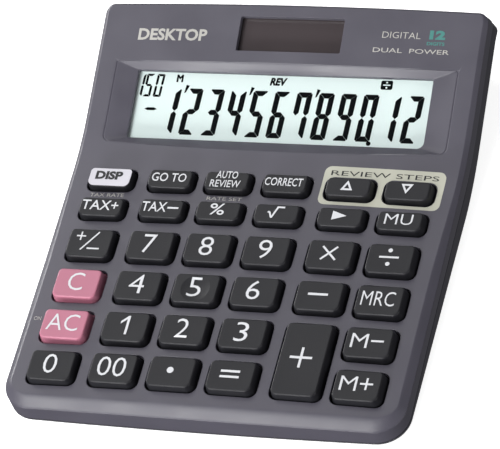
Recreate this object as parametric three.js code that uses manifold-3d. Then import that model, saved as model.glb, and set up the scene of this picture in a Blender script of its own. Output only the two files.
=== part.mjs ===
// Compact desktop calculator: a crowned sloping front housing with 35 sprung keys, a tilted
// display in a sloping surround, a solar window, and a tapered rear housing on rubber feet.
//
// Millimetres. +X to the right, +Y to the rear, +Z up. The origin is on the table, under the
// centre of the case's outline.
//
// Two tilted frames carry most of the pieces: the keyboard frame, whose origin is the panel at
// the middle of the top key row, and the display frame, whose origin is the line where the
// keyboard and display planes meet. In both, local +Y runs up the slope and local Z is the
// height over the panel.

import * as THREE from "three";
import { mergeVertices } from "three/addons/utils/BufferGeometryUtils.js";
import Module from "manifold-3d";

const wasm = await Module();
wasm.setup();

// ---- overall size and slopes ----
const WIDTH = 126.5;
const DEPTH = 146.9;
const HEIGHT = 28.07;
const HALF_W = WIDTH / 2;
const HALF_D = DEPTH / 2;
const KEYBOARD_TILT = THREE.MathUtils.degToRad(2.6);
const DISPLAY_TILT = THREE.MathUtils.degToRad(17.4);
const CREASE_Y = 22.1; // where the keyboard and display planes meet
const BEND_LENGTH = 22; // the planes blend over this length
const REAR_EDGE_Y = 68.8; // top of the sloping rear wall
const CROWN = 1.45; // the panel is this much lower at its side edges than on its centre line

// ---- case edges ----
const FRONT_CORNER_R = 9.5;
const REAR_CORNER_R = 3;
const LEAST_CORNER_R = 1; // of the inner walls
const FRONT_BOW = 0.6; // the front wall bulges this much at its middle
const BEVEL = { length: 4.45, drop: 1.75, softness: 0.6 };
const SIDE_ROUND_FRONT = { length: 2.6, drop: 1.6 }; // the side edges' rounding up to SIDE_ROUND_Y
const SIDE_ROUND_REAR = { length: 1.6, drop: 1.1 }; // and from the bend to the rear
const SIDE_ROUND_Y = -20;
const REAR_ROUND_DROP = 0.5;
const SKIRT = 6.9; // panel to the parting line
const SKIRT_FRONT = 1.3; // the parting line falls this much further towards the front
const SKIRT_KINK_Y = -40; // from here on
const RIM = 12.7; // panel to the rear housing's widest line
const RIM_LOWEST = 0.73;
const RIM_LEDGE = 0.6; // the inner wall meets the floor's slope this far over the rim
const WALL = 1.8;
const REAR_WALL = 1.2; // the rear wall's thickness at its top
const ROOF = 1.7;
const FLOOR = 1.5;
const FLOOR_Z = 0.5; // underside of the rear housing
const SIDE_TAPER = 0.47; // inward run of the rear housing per millimetre of drop
const REAR_TAPER = 0.3;
const BASE_INSET = 1;
const GAP = 0.3; // clearance between neighbouring pieces

// ---- heights well clear of the case, for plans and cuts that go right through it ----
const ABOVE = 40;
const BELOW = -5;
const FAR_BELOW = -20;

const KEYBOARD_SLOPE = Math.tan(KEYBOARD_TILT);
const DISPLAY_SLOPE = Math.tan(DISPLAY_TILT);
const PANEL_FRONT_Z =
  HEIGHT +
  REAR_ROUND_DROP -
  (CREASE_Y + HALF_D) * KEYBOARD_SLOPE -
  (REAR_EDGE_Y - CREASE_Y) * DISPLAY_SLOPE;
const CREASE_Z = PANEL_FRONT_Z + (CREASE_Y + HALF_D) * KEYBOARD_SLOPE;
const BEND_START = CREASE_Y - BEND_LENGTH / 2;
const BEND_END = CREASE_Y + BEND_LENGTH / 2;
const BEND_LINES = [0, 0.25, 0.5, 0.75, 1].map((t) => BEND_START + t * BEND_LENGTH);

// ---- keyboard ----
const COLUMNS = [-48.2, -28.1, -9.4, 9.4, 29.6, 48.2];
const ROWS = [82.75, 71.65, 58.05, 43.35, 28.55, 13.85]; // distance of each row from the front wall
const KEY_PROUD = 2.5;
const BIG_KEY = { width: 16.1, depth: 11.65 };
const SMALL_KEY = { width: 15.9, depth: 8.1 };
const TALL_KEY = { width: 16.1, depth: BIG_KEY.depth + ROWS[4] - ROWS[5] };
const KEY_FLANGE = 0.9; // the flange under the panel that keeps a key in
const FLANGE_THICK = 0.8;
const KEY_CORNER_R = 2.6;
const KEY_CUT = { low: -4.2, high: 3 };
const KEY_TOP_CORNER_R = 1.6;
const SIDE_DRAFT = 1.05;
const DEPTH_DRAFT = 0.8;
const TOP_SHIFT = 0.55; // the top face sits this much nearer the front than the base

// ---- display and solar window, in the display frame ----
const DISPLAY_V = 15.1;
const DISPLAY_OPENING = { width: 97, depth: 22.8 };
const SURROUND_SIDE = 14.6; // the slopes' runs from the opening's lip to the height of the panel
const SURROUND_TOP = 2.4;
const SURROUND_BOTTOM = 3.3;
const SURROUND_DEPTH = 2.5;
const OPENING_CUT = { low: -8, high: 4 };
const SURROUND_OVER = 1.5; // the slopes are cut on to this height, over the panel's bend
const WELL_SIDE = 9.7; // the well's flange beyond the opening
const WELL_END = 2.4;
const WELL_BOTTOM = -4;
const WELL_TOP = -1;
const WINDOW_TOP = -3.4;
const WINDOW_THICK = 0.6;
const GLASS = { width: 104, depth: 28, thick: 1.1 };
const HOLDER = { width: 106, depth: 22, thick: 0.8, shift: 0.5 };
const SOLAR_V = 38.8;
const SOLAR_OPENING = { width: 34.2, depth: 11.4 };
const SOLAR_PLATE = { width: 38, depth: 14, thick: 0.8 };
const SOLAR_SLACK = 0.25; // the panel's crown takes this much of the room over the plate

// ---- layers under the keys, in the keyboard frame ----
const MAT_TOP = -5.6; // leaves the lowest key its 1 mm of travel
const MAT_THICK = 0.6;
const BOARD_TOP = MAT_TOP - MAT_THICK - GAP;
const BOARD_THICK = 1;
const BOARD_HALF_W = 57;
const BOARD_FRONT = -74.5;
const BOARD_REAR = 10;
const MAT_REAR = 5.5;
const DOME_R = 1.7;
const DOME_SINK = 0.2; // how far a dome's foot reaches into the mat
const PROCESSOR = { x: 18, y: -24, baseR: 6.5, endR: 3.2, thick: 1.2 };

// ---- wiring ----
const RIBBON = { width: 78, thick: 0.4 };
const LEAD = { width: 6, thick: 0.5, x: 10, knee: [44, 9] };
const WIRE_SLACK = 0.05;

// ---- base: feet, screws and battery ----
const FOOT_R = 4.5;
const FOOT_HEIGHT = 1.2;
const FOOT_RECESS = 1;
const FEET = {
  foot_front_left: [-45, -60],
  foot_front_right: [45, -60],
  foot_rear_left: [-41, 54],
  foot_rear_right: [41, 54],
};
const SCREW_HEAD_R = 2.1;
const SCREW_HEAD = 1.2;
const SCREW_SHANK_R = 1;
const SCREW_HOLE_R = 1.3;
const SCREW_SIDES = 10;
const LOWER_BOSS_EXTRA = 0.4; // the rear housing's bosses are this much wider
const FRONT_SCREW = { x: 38.9, y: -68.2, shoulder: 2.4, joint: 4, length: 4.6, bossR: 2.5 };
const REAR_SCREW = { x: 47.5, y: 61.5, shoulder: 9, joint: 12, length: 8, bossR: 3.6 };
const BATTERY = { x: -18, y: 45, width: 24, depth: 17, wall: 1.4, roof: 9.2 };
const CELL_R = 5.8;
const CELL_HEIGHT = 5.4;
const CELL_X = BATTERY.x - 4;
const CELL_CLEARANCE = 0.6; // under the cell
const CONTACT_THICK = 0.4;
const TOP_CONTACT = { width: 9, depth: 6 };
const SIDE_CONTACT_DEPTH = 8;
const COVER_SCREW_X = BATTERY.x + 8.6;
const COVER_BOSS_R = 2.6;
const COVER_HEAD_RECESS = 0.9;
const COVER_SCREW_TIP = 6;

// ---- solids ----
function solid(geometry) {
  const bare = geometry.clone();
  bare.deleteAttribute("normal");
  bare.deleteAttribute("uv");
  const merged = mergeVertices(bare, 1e-4);
  return new wasm.Manifold(
    new wasm.Mesh({
      numProp: 3,
      vertProperties: new Float32Array(merged.attributes.position.array),
      triVerts: new Uint32Array(merged.index.array),
    }),
  );
}

function geometryOf(manifold) {
  const mesh = manifold.getMesh();
  const geometry = new THREE.BufferGeometry();
  geometry.setAttribute("position", new THREE.BufferAttribute(mesh.vertProperties, 3));
  geometry.setIndex(new THREE.BufferAttribute(mesh.triVerts, 1));
  return geometry;
}

// A closed body through rings of points that all have the same count and turn the same way
// (anticlockwise from above, the first ring lowest). Both ends are capped.
function loft(rings) {
  const count = rings[0].length;
  const positions = rings.flat().flatMap((p) => [p.x, p.y, p.z]);
  const index = [];
  for (let r = 0; r + 1 < rings.length; r++) {
    for (let i = 0; i < count; i++) {
      const a = r * count + i;
      const b = r * count + ((i + 1) % count);
      index.push(a, b, b + count, a, b + count, a + count);
    }
  }
  const lastRing = (rings.length - 1) * count;
  for (const [a, b, c] of capTriangles(rings[0])) index.push(a, c, b);
  for (const [a, b, c] of capTriangles(rings.at(-1))) {
    index.push(lastRing + a, lastRing + b, lastRing + c);
  }
  const geometry = new THREE.BufferGeometry();
  geometry.setAttribute("position", new THREE.Float32BufferAttribute(positions, 3));
  geometry.setIndex(index);
  return geometry;
}

function capTriangles(ring) {
  return THREE.ShapeUtils.triangulateShape(
    ring.map((p) => new THREE.Vector2(p.x, p.y)),
    [],
  );
}

// A body between a flat bottom and a surface given by its height over a grid of X and Y lines.
function heightField(xs, ys, height, bottom) {
  const positions = [];
  for (const level of [0, 1]) {
    for (const y of ys) {
      for (const x of xs) positions.push(x, y, level ? height(x, y) : bottom);
    }
  }
  const across = xs.length;
  const layer = across * ys.length;
  const index = [];
  const quad = (a, b, c, d) => index.push(a, b, c, a, c, d);
  for (let j = 0; j + 1 < ys.length; j++) {
    for (let i = 0; i + 1 < across; i++) {
      const a = j * across + i;
      quad(layer + a, layer + a + 1, layer + a + across + 1, layer + a + across);
      quad(a, a + across, a + across + 1, a + 1);
    }
  }
  for (let i = 0; i + 1 < across; i++) {
    const rear = (ys.length - 1) * across + i;
    quad(i, i + 1, layer + i + 1, layer + i);
    quad(rear + 1, rear, layer + rear, layer + rear + 1);
  }
  for (let j = 0; j + 1 < ys.length; j++) {
    const left = j * across;
    const right = left + across - 1;
    quad(left + across, left, layer + left, layer + left + across);
    quad(right, right + across, layer + right + across, layer + right);
  }
  const geometry = new THREE.BufferGeometry();
  geometry.setAttribute("position", new THREE.Float32BufferAttribute(positions, 3));
  geometry.setIndex(index);
  return geometry;
}

function box(width, depth, low, high, x = 0, y = 0) {
  return new THREE.BoxGeometry(width, depth, high - low).translate(x, y, (low + high) / 2);
}

function disc(radius, low, high, x = 0, y = 0, sides = 12) {
  return new THREE.CylinderGeometry(radius, radius, high - low, sides)
    .rotateX(Math.PI / 2)
    .translate(x, y, (low + high) / 2);
}

// A rounded rectangle as a ring of points, three to a corner.
function roundedRing(width, depth, radius, z, y = 0) {
  const ring = [];
  const corners = [[1, -1], [1, 1], [-1, 1], [-1, -1]];
  corners.forEach(([sx, sy], corner) => {
    for (const step of [0, 1, 2]) {
      const angle = ((corner - 1) * Math.PI) / 2 + (step * Math.PI) / 4;
      const px = sx * (width / 2 - radius) + radius * Math.cos(angle);
      const py = sy * (depth / 2 - radius) + radius * Math.sin(angle);
      ring.push(new THREE.Vector3(px, py + y, z));
    }
  });
  return ring;
}

// A strip of even thickness, `width` wide in X, along points given as [y, z].
function strip(points, width, thick, x) {
  const upper = points.map(([y, z]) => [y, z + thick / 2]);
  const lower = points.map(([y, z]) => [y, z - thick / 2]).reverse();
  const outline = [...upper, ...lower].map(([y, z]) => new THREE.Vector2(y, z));
  return new THREE.ExtrudeGeometry(new THREE.Shape(outline), { depth: width, bevelEnabled: false })
    .applyMatrix4(new THREE.Matrix4().set(0, 0, 1, x - width / 2, 1, 0, 0, 0, 0, 1, 0, 0, 0, 0, 0, 1));
}

// ---- the two tilted frames ----
const KEYBOARD_ORIGIN_Y = -HALF_D + ROWS[0] * Math.cos(KEYBOARD_TILT);
const keyboardFrame = new THREE.Matrix4()
  .makeTranslation(0, KEYBOARD_ORIGIN_Y, keyboardPlane(KEYBOARD_ORIGIN_Y))
  .multiply(new THREE.Matrix4().makeRotationX(KEYBOARD_TILT));
const displayFrame = new THREE.Matrix4()
  .makeTranslation(0, CREASE_Y, CREASE_Z)
  .multiply(new THREE.Matrix4().makeRotationX(DISPLAY_TILT));

function inFrame(frame, geometry) {
  return geometry.clone().applyMatrix4(frame);
}

// ---- case surface ----
function keyboardPlane(y) {
  return PANEL_FRONT_Z + (y + HALF_D) * KEYBOARD_SLOPE;
}

// Height of the panel's centre line: two planes joined by a smooth concave bend.
function panelZ(y) {
  const run = THREE.MathUtils.clamp(y - BEND_START, 0, BEND_LENGTH);
  const bend = ((DISPLAY_SLOPE - KEYBOARD_SLOPE) * run * run) / (2 * BEND_LENGTH);
  const beyond = Math.max(0, y - BEND_END) * (DISPLAY_SLOPE - KEYBOARD_SLOPE);
  return keyboardPlane(y) + bend + beyond;
}

function crown(x) {
  return CROWN * (x / HALF_W) ** 2;
}

// Drop of a rounded edge at a distance in from it.
function edgeDrop(distance, length, drop) {
  const t = THREE.MathUtils.clamp(1 - distance / length, 0, 1);
  return drop * (1 - Math.sqrt(1 - t * t));
}

// The side edges' rounding, which gets tighter from the keys towards the display.
function sideDrop(x, y) {
  const share = THREE.MathUtils.clamp((y - SIDE_ROUND_Y) / (BEND_START - SIDE_ROUND_Y), 0, 1);
  const length = THREE.MathUtils.lerp(SIDE_ROUND_FRONT.length, SIDE_ROUND_REAR.length, share);
  const drop = THREE.MathUtils.lerp(SIDE_ROUND_FRONT.drop, SIDE_ROUND_REAR.drop, share);
  return edgeDrop(HALF_W - Math.abs(x), length, drop);
}

// The front bevel: rolls off the panel, then runs down almost straight to the front wall.
function bevelDrop(y) {
  const t = THREE.MathUtils.clamp(1 - (y + HALF_D) / BEVEL.length, 0, 1);
  return (BEVEL.drop * (1 + BEVEL.softness) * t * t) / (t + BEVEL.softness);
}

function outerZ(x, y) {
  const side = sideDrop(x, y);
  const front = bevelDrop(y);
  const overEdge = Math.max(0, y - REAR_EDGE_Y);
  const rear = (overEdge * (RIM - REAR_ROUND_DROP)) / (HALF_D - REAR_EDGE_Y);
  const rounding = y >= REAR_EDGE_Y ? REAR_ROUND_DROP : 0;
  return panelZ(Math.min(y, REAR_EDGE_Y)) - crown(x) - side - front - rear - rounding;
}

function partingZ(y) {
  const front = THREE.MathUtils.clamp((SKIRT_KINK_Y - y) / (HALF_D + SKIRT_KINK_Y), 0, 1);
  return panelZ(Math.min(y, REAR_EDGE_Y)) - SKIRT - SKIRT_FRONT * front;
}

function rimZ(y) {
  return Math.max(panelZ(Math.min(y, REAR_EDGE_Y)) - RIM, RIM_LOWEST);
}

// The case's plan outline, anticlockwise from the front's middle: a bowed front, big front
// corners, small rear corners, and extra points down the sides where the panel bends.
function outline(height, inset = 0, rearInset = inset) {
  const side = HALF_W - inset;
  const rear = HALF_D - rearInset;
  const front = -HALF_D + inset;
  const points = [[0, front]];
  const arc = (cx, cy, radius, from, steps) => {
    for (let i = 0; i <= steps; i++) {
      const angle = ((from + (90 * i) / steps) * Math.PI) / 180;
      points.push([cx + radius * Math.cos(angle), cy + radius * Math.sin(angle)]);
    }
  };
  const bends = [SKIRT_KINK_Y, ...BEND_LINES];
  const frontR = FRONT_CORNER_R - inset;
  const rearR = Math.max(REAR_CORNER_R - inset, LEAST_CORNER_R);
  arc(side - frontR, front + FRONT_BOW + frontR, frontR, -90, 4);
  bends.forEach((y) => points.push([side, y]));
  arc(side - rearR, rear - rearR, rearR, 0, 2);
  arc(-side + rearR, rear - rearR, rearR, 90, 2);
  bends.reverse().forEach((y) => points.push([-side, y]));
  arc(-side + frontR, front + FRONT_BOW + frontR, frontR, 180, 4);
  return points.map(([x, y]) => new THREE.Vector3(x, y, height(y)));
}

const SIDE_LINES = [-0.1, 0.4, 1.2, SIDE_ROUND_REAR.length, SIDE_ROUND_FRONT.length, 15, 31, 47]
  .map((inset) => HALF_W - inset);
const GRID_X = [...SIDE_LINES.map((x) => -x), 0, ...SIDE_LINES.toReversed()];
const BEVEL_LINES = [0, 0.25, 0.5, 0.75, 1].map((t) => -HALF_D + t * BEVEL.length);
const GRID_Y = [...BEVEL_LINES, SIDE_ROUND_Y, ...BEND_LINES];
const REAR_LINES = [REAR_EDGE_Y - 0.8, REAR_EDGE_Y, HALF_D];
const UNDER_X = [-HALF_W, -48, -32, -16, 0, 16, 32, 48, HALF_W];

// ---- front housing ----
function displayWell() {
  const width = DISPLAY_OPENING.width + 2 * WELL_SIDE;
  const depth = DISPLAY_OPENING.depth + SURROUND_TOP + SURROUND_BOTTOM + 2 * WELL_END;
  const middle = DISPLAY_V + (SURROUND_TOP - SURROUND_BOTTOM) / 2;
  return solid(inFrame(displayFrame, box(width, depth, WELL_BOTTOM, WELL_TOP, 0, middle)));
}

// The sloping surround, carried on above the panel so that it cuts clean through it.
function surroundCut() {
  const grow = (SURROUND_DEPTH + SURROUND_OVER) / SURROUND_DEPTH;
  const { width, depth } = DISPLAY_OPENING;
  const ring = (share, z) => {
    const right = width / 2 + share * SURROUND_SIDE;
    const low = -depth / 2 - share * SURROUND_BOTTOM;
    const high = depth / 2 + share * SURROUND_TOP;
    const corners = [[-right, low], [right, low], [right, high], [-right, high]];
    return corners.map(([x, v]) => new THREE.Vector3(x, v + DISPLAY_V, z));
  };
  const rings = [ring(0, -SURROUND_DEPTH), ring(grow, SURROUND_OVER)];
  return solid(inFrame(displayFrame, loft(rings)));
}

function openingCut({ width, depth }, v) {
  const { low, high } = OPENING_CUT;
  return solid(inFrame(displayFrame, box(width, depth, low, high, 0, v)));
}

function screwBoss(screw, side, low, high, radius) {
  return solid(disc(radius, low, high, side * screw.x, screw.y, SCREW_SIDES));
}

function frontHousing(keys) {
  const plan = solid(loft([outline(() => BELOW), outline(() => ABOVE)]));
  let body = plan.intersect(solid(heightField(GRID_X, [...GRID_Y, ...REAR_LINES], outerZ, BELOW)));
  const skirtY = [-HALF_D, SKIRT_KINK_Y, ...BEND_LINES, REAR_EDGE_Y, HALF_D + 1];
  const below = heightField([-HALF_W - 1, HALF_W + 1], skirtY, (x, y) => partingZ(y), FAR_BELOW);
  body = body.subtract(solid(below));
  const rearWall = HALF_D - REAR_EDGE_Y + REAR_WALL;
  const innerRings = [BELOW, ABOVE].map((z) => outline(() => z, WALL, rearWall));
  const innerPlan = solid(loft(innerRings));
  const innerY = [-HALF_D, ...BEND_LINES, HALF_D];
  const innerTop = heightField(UNDER_X, innerY, (x, y) => panelZ(y) - crown(x) - ROOF, FAR_BELOW);
  const outer = body;
  body = body.subtract(innerPlan.intersect(solid(innerTop)));
  body = body.add(displayWell().intersect(outer));
  for (const screw of [FRONT_SCREW, REAR_SCREW]) {
    for (const side of [-1, 1]) {
      const roof = panelZ(screw.y) - crown(screw.x) - ROOF / 2;
      const boss = screwBoss(screw, side, screw.joint + GAP, roof, screw.bossR);
      const pilotTop = screw.shoulder + screw.length + GAP;
      const pilot = screwBoss(screw, side, screw.joint, pilotTop, SCREW_HOLE_R);
      body = body.add(boss.intersect(outer)).subtract(pilot);
    }
  }
  body = body.subtract(surroundCut());
  body = body.subtract(openingCut(DISPLAY_OPENING, DISPLAY_V));
  body = body.subtract(openingCut(SOLAR_OPENING, SOLAR_V));
  for (const key of keys) body = body.subtract(keyOpening(key));
  return geometryOf(body);
}

// ---- rear housing ----
// The point of the tapered base under a point of the rim.
function taperPoint(point, thick) {
  const drop = rimZ(point.y) - FLOOR_Z;
  const sideInset = BASE_INSET + SIDE_TAPER * drop;
  const rearInset = BASE_INSET + (point.y > BEND_END ? REAR_TAPER * drop : 0);
  const x = point.x * (1 - sideInset / HALF_W);
  const y = point.y * (1 - rearInset / HALF_D);
  return new THREE.Vector3(x, y, FLOOR_Z + thick);
}

function tray() {
  const rearLean = ((RIM - SKIRT) * (HALF_D - REAR_EDGE_Y)) / (RIM - REAR_ROUND_DROP);
  const rim = outline(rimZ);
  const parting = outline((y) => partingZ(y) - GAP, 0, rearLean);
  const inset = WALL + GAP;
  const innerParting = outline((y) => partingZ(y) - GAP, inset, rearLean + inset);
  const innerRim = outline((y) => Math.max(rimZ(y) + RIM_LEDGE, FLOOR_Z + FLOOR + GAP), inset);
  const base = rim.map((p) => taperPoint(p, 0));
  const innerBase = innerRim.map((p) => taperPoint(p, FLOOR));
  return loft([base, rim, parting, innerParting, innerRim, innerBase]);
}

function rearHousing() {
  let body = solid(tray());
  const { x, y, width, depth, wall, roof } = BATTERY;
  body = body.add(solid(box(width + 2 * wall, depth + 2 * wall, FLOOR_Z, roof + wall, x, y)));
  body = body.subtract(solid(box(width, depth, BELOW, roof, x, y)));
  for (const screw of [FRONT_SCREW, REAR_SCREW]) {
    for (const side of [-1, 1]) {
      const boss = screwBoss(screw, side, FLOOR_Z, screw.joint, screw.bossR + LOWER_BOSS_EXTRA);
      const head = screwBoss(screw, side, BELOW, screw.shoulder, SCREW_HEAD_R + GAP);
      const shank = screwBoss(screw, side, BELOW, ABOVE, SCREW_HOLE_R);
      body = body.add(boss).subtract(head).subtract(shank);
    }
  }
  for (const [footX, footY] of Object.values(FEET)) {
    body = body.subtract(solid(disc(FOOT_R + GAP, BELOW, FLOOR_Z + FOOT_RECESS, footX, footY)));
  }
  const coverBoss = disc(COVER_BOSS_R, FLOOR_Z + FLOOR + GAP, roof + wall / 2, COVER_SCREW_X, y, SCREW_SIDES);
  const coverPilot = disc(SCREW_HOLE_R, 0, roof - GAP, COVER_SCREW_X, y, SCREW_SIDES);
  body = body.add(solid(coverBoss)).subtract(solid(coverPilot));
  return geometryOf(body);
}

// ---- screws ----
function screwGeometry(x, y, shoulder, length) {
  const head = shoulder - GAP;
  const profile = [
    [0, head - SCREW_HEAD],
    [SCREW_HEAD_R, head - SCREW_HEAD],
    [SCREW_HEAD_R, head],
    [SCREW_SHANK_R, head],
    [SCREW_SHANK_R, shoulder + length],
    [0, shoulder + length],
  ];
  return new THREE.LatheGeometry(profile.map(([r, z]) => new THREE.Vector2(r, z)), SCREW_SIDES)
    .rotateX(Math.PI / 2)
    .translate(x, y, 0);
}

// ---- keys ----
const KEY_COLOUR = { dark: 0x3c3d40, pink: 0xd98fa6 };

function keyAt(name, column, row, size, colour = KEY_COLOUR.dark) {
  return { name, x: COLUMNS[column], y: ROWS[row] - ROWS[0], ...size, colour };
}

const KEYS = [
  ...["key_display", "key_go_to", "key_auto_review", "key_correct", "key_step_up", "key_step_down"]
    .map((name, column) => keyAt(name, column, 0, SMALL_KEY)),
  ...["key_tax_plus", "key_tax_minus", "key_percent", "key_square_root", "key_backspace", "key_mark_up"]
    .map((name, column) => keyAt(name, column, 1, SMALL_KEY)),
  ...["key_sign_change", "key_7", "key_8", "key_9", "key_multiply", "key_divide"]
    .map((name, column) => keyAt(name, column, 2, BIG_KEY)),
  keyAt("key_clear", 0, 3, BIG_KEY, KEY_COLOUR.pink),
  ...["key_4", "key_5", "key_6", "key_minus", "key_memory_recall"]
    .map((name, column) => keyAt(name, column + 1, 3, BIG_KEY)),
  keyAt("key_all_clear", 0, 4, BIG_KEY, KEY_COLOUR.pink),
  ...["key_1", "key_2", "key_3"].map((name, column) => keyAt(name, column + 1, 4, BIG_KEY)),
  keyAt("key_memory_minus", 5, 4, BIG_KEY),
  ...["key_0", "key_00", "key_point", "key_equals"]
    .map((name, column) => keyAt(name, column, 5, BIG_KEY)),
  keyAt("key_memory_plus", 5, 5, BIG_KEY),
  {
    name: "key_plus",
    x: COLUMNS[4],
    y: (ROWS[4] + ROWS[5]) / 2 - ROWS[0],
    ...TALL_KEY,
    colour: KEY_COLOUR.dark,
  },
];

function keyOpening(key) {
  const ring = (z) => roundedRing(key.width + 2 * GAP, key.depth + 2 * GAP, KEY_CORNER_R, z, key.y);
  const rings = [ring(KEY_CUT.low), ring(KEY_CUT.high)];
  return solid(inFrame(keyboardFrame, loft(rings).translate(key.x, 0, 0)));
}

function flangeBottom(key) {
  const outerEdge = Math.abs(key.x) + key.width / 2 + KEY_FLANGE;
  return -(ROOF + crown(outerEdge) + GAP + FLANGE_THICK);
}

function keyGeometry(key) {
  const low = flangeBottom(key);
  const high = KEY_PROUD - crown(key.x);
  const flangeW = key.width + 2 * KEY_FLANGE;
  const flangeD = key.depth + 2 * KEY_FLANGE;
  return loft([
    roundedRing(flangeW, flangeD, KEY_CORNER_R, low),
    roundedRing(flangeW, flangeD, KEY_CORNER_R, low + FLANGE_THICK),
    roundedRing(key.width, key.depth, KEY_CORNER_R, low + FLANGE_THICK),
    roundedRing(
      key.width - 2 * SIDE_DRAFT,
      key.depth - 2 * DEPTH_DRAFT,
      KEY_TOP_CORNER_R,
      high,
      -TOP_SHIFT,
    ),
  ]);
}

// ---- layers under the keys ----
function domeMat(keys) {
  const depth = MAT_REAR - BOARD_FRONT;
  const middle = (MAT_REAR + BOARD_FRONT) / 2;
  let mat = solid(box(2 * BOARD_HALF_W, depth, MAT_TOP - MAT_THICK, MAT_TOP, 0, middle));
  for (const key of keys) {
    const top = flangeBottom(key) - GAP;
    const dome = new THREE.CylinderGeometry(DOME_R, DOME_R, top - MAT_TOP + DOME_SINK, 8)
      .rotateX(Math.PI / 2)
      .translate(key.x, key.y, (top + MAT_TOP - DOME_SINK) / 2);
    mat = mat.add(solid(dome));
  }
  return geometryOf(mat);
}

function circuitBoard() {
  const depth = BOARD_REAR - BOARD_FRONT;
  const middle = (BOARD_REAR + BOARD_FRONT) / 2;
  return box(2 * BOARD_HALF_W, depth, BOARD_TOP - BOARD_THICK, BOARD_TOP, 0, middle);
}

function processorBlob() {
  const top = BOARD_TOP - BOARD_THICK - GAP;
  const { x, y, baseR, endR, thick } = PROCESSOR;
  const profile = [[0, 0], [endR, 0], [baseR, thick], [0, thick]];
  return new THREE.LatheGeometry(profile.map(([r, z]) => new THREE.Vector2(r, z)), 12)
    .rotateX(Math.PI / 2)
    .translate(x, y, top - thick);
}

// ---- wiring: the display's connector strip and the solar cell's lead ----
function framePoint(frame, v, n) {
  const point = new THREE.Vector3(0, v, n).applyMatrix4(frame);
  return [point.y, point.z];
}

const GLASS_TOP = WELL_BOTTOM - GAP;
const GLASS_BOTTOM = GLASS_TOP - GLASS.thick;
const SOLAR_TOP = -ROOF - GAP - SOLAR_SLACK;
const CELL_PLATE_TOP = SOLAR_TOP - SOLAR_PLATE.thick - GAP;

function displayRibbon() {
  const { width, thick } = RIBBON;
  const away = GAP + thick / 2 + WIRE_SLACK;
  const glassFront = DISPLAY_V - GLASS.depth / 2;
  return strip(
    [
      framePoint(keyboardFrame, MAT_REAR + 1, BOARD_TOP + away),
      framePoint(keyboardFrame, BOARD_REAR + 0.5, BOARD_TOP + away),
      framePoint(displayFrame, glassFront + 0.5, GLASS_BOTTOM - away),
      framePoint(displayFrame, glassFront + 4, GLASS_BOTTOM - away),
    ],
    width,
    thick,
    0,
  );
}

function solarLead() {
  const { width, thick, x, knee } = LEAD;
  const away = GAP + thick / 2 + WIRE_SLACK;
  return strip(
    [
      framePoint(keyboardFrame, BOARD_REAR - 5, BOARD_TOP - BOARD_THICK - away),
      framePoint(keyboardFrame, BOARD_REAR + 1, BOARD_TOP - BOARD_THICK - away),
      knee,
      framePoint(displayFrame, SOLAR_V - 6, CELL_PLATE_TOP - 5),
      framePoint(displayFrame, SOLAR_V - 3, CELL_PLATE_TOP - SOLAR_PLATE.thick - away),
      framePoint(displayFrame, SOLAR_V + 3, CELL_PLATE_TOP - SOLAR_PLATE.thick - away),
    ],
    width,
    thick,
    x,
  );
}

// ---- battery ----
function batteryCover() {
  const { x, y, width, depth } = BATTERY;
  const plate = solid(box(width - 2 * GAP, depth - 2 * GAP, FLOOR_Z, FLOOR_Z + FLOOR, x, y));
  const hole = disc(SCREW_HOLE_R, BELOW, ABOVE, COVER_SCREW_X, y, SCREW_SIDES);
  const recessTop = FLOOR_Z + COVER_HEAD_RECESS;
  const headRecess = disc(SCREW_HEAD_R + GAP, BELOW, recessTop, COVER_SCREW_X, y, SCREW_SIDES);
  return geometryOf(plate.subtract(solid(hole)).subtract(solid(headRecess)));
}

function coverScrew() {
  const head = FLOOR_Z + COVER_HEAD_RECESS - GAP;
  const profile = [
    [0, FLOOR_Z],
    [SCREW_HEAD_R, FLOOR_Z],
    [SCREW_HEAD_R, head],
    [SCREW_SHANK_R, head],
    [SCREW_SHANK_R, COVER_SCREW_TIP],
    [0, COVER_SCREW_TIP],
  ];
  return new THREE.LatheGeometry(profile.map(([r, z]) => new THREE.Vector2(r, z)), SCREW_SIDES)
    .rotateX(Math.PI / 2)
    .translate(COVER_SCREW_X, BATTERY.y, 0);
}

const CELL_BOTTOM = FLOOR_Z + FLOOR + CELL_CLEARANCE;
const CELL_TOP = CELL_BOTTOM + CELL_HEIGHT;

// ---- assembly ----
const calculator = new THREE.Group();

function addPiece(name, geometry, colour, roughness = 0.6, metalness = 0, frame = null) {
  const material = new THREE.MeshStandardMaterial({ color: colour, roughness, metalness });
  const mesh = new THREE.Mesh(geometry, material);
  mesh.name = name;
  if (frame) frame.add(mesh);
  else calculator.add(mesh);
  return mesh;
}

const keyboard = new THREE.Group();
keyboard.applyMatrix4(keyboardFrame);
const display = new THREE.Group();
display.applyMatrix4(displayFrame);
calculator.add(keyboard, display);

addPiece("front_housing", frontHousing(KEYS), 0x5f5e67, 0.55);
addPiece("rear_housing", rearHousing(), 0x4b4a52, 0.6);

for (const key of KEYS) {
  const mesh = addPiece(key.name, keyGeometry(key), key.colour, 0.5, 0, keyboard);
  mesh.position.set(key.x, key.y, 0);
}

addPiece("dome_mat", domeMat(KEYS), 0x8d8f94, 0.8, 0, keyboard);
addPiece("circuit_board", circuitBoard(), 0x3d6b45, 0.5, 0, keyboard);
addPiece("processor_blob", processorBlob(), 0x1b1b1d, 0.4, 0, keyboard);

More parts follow.
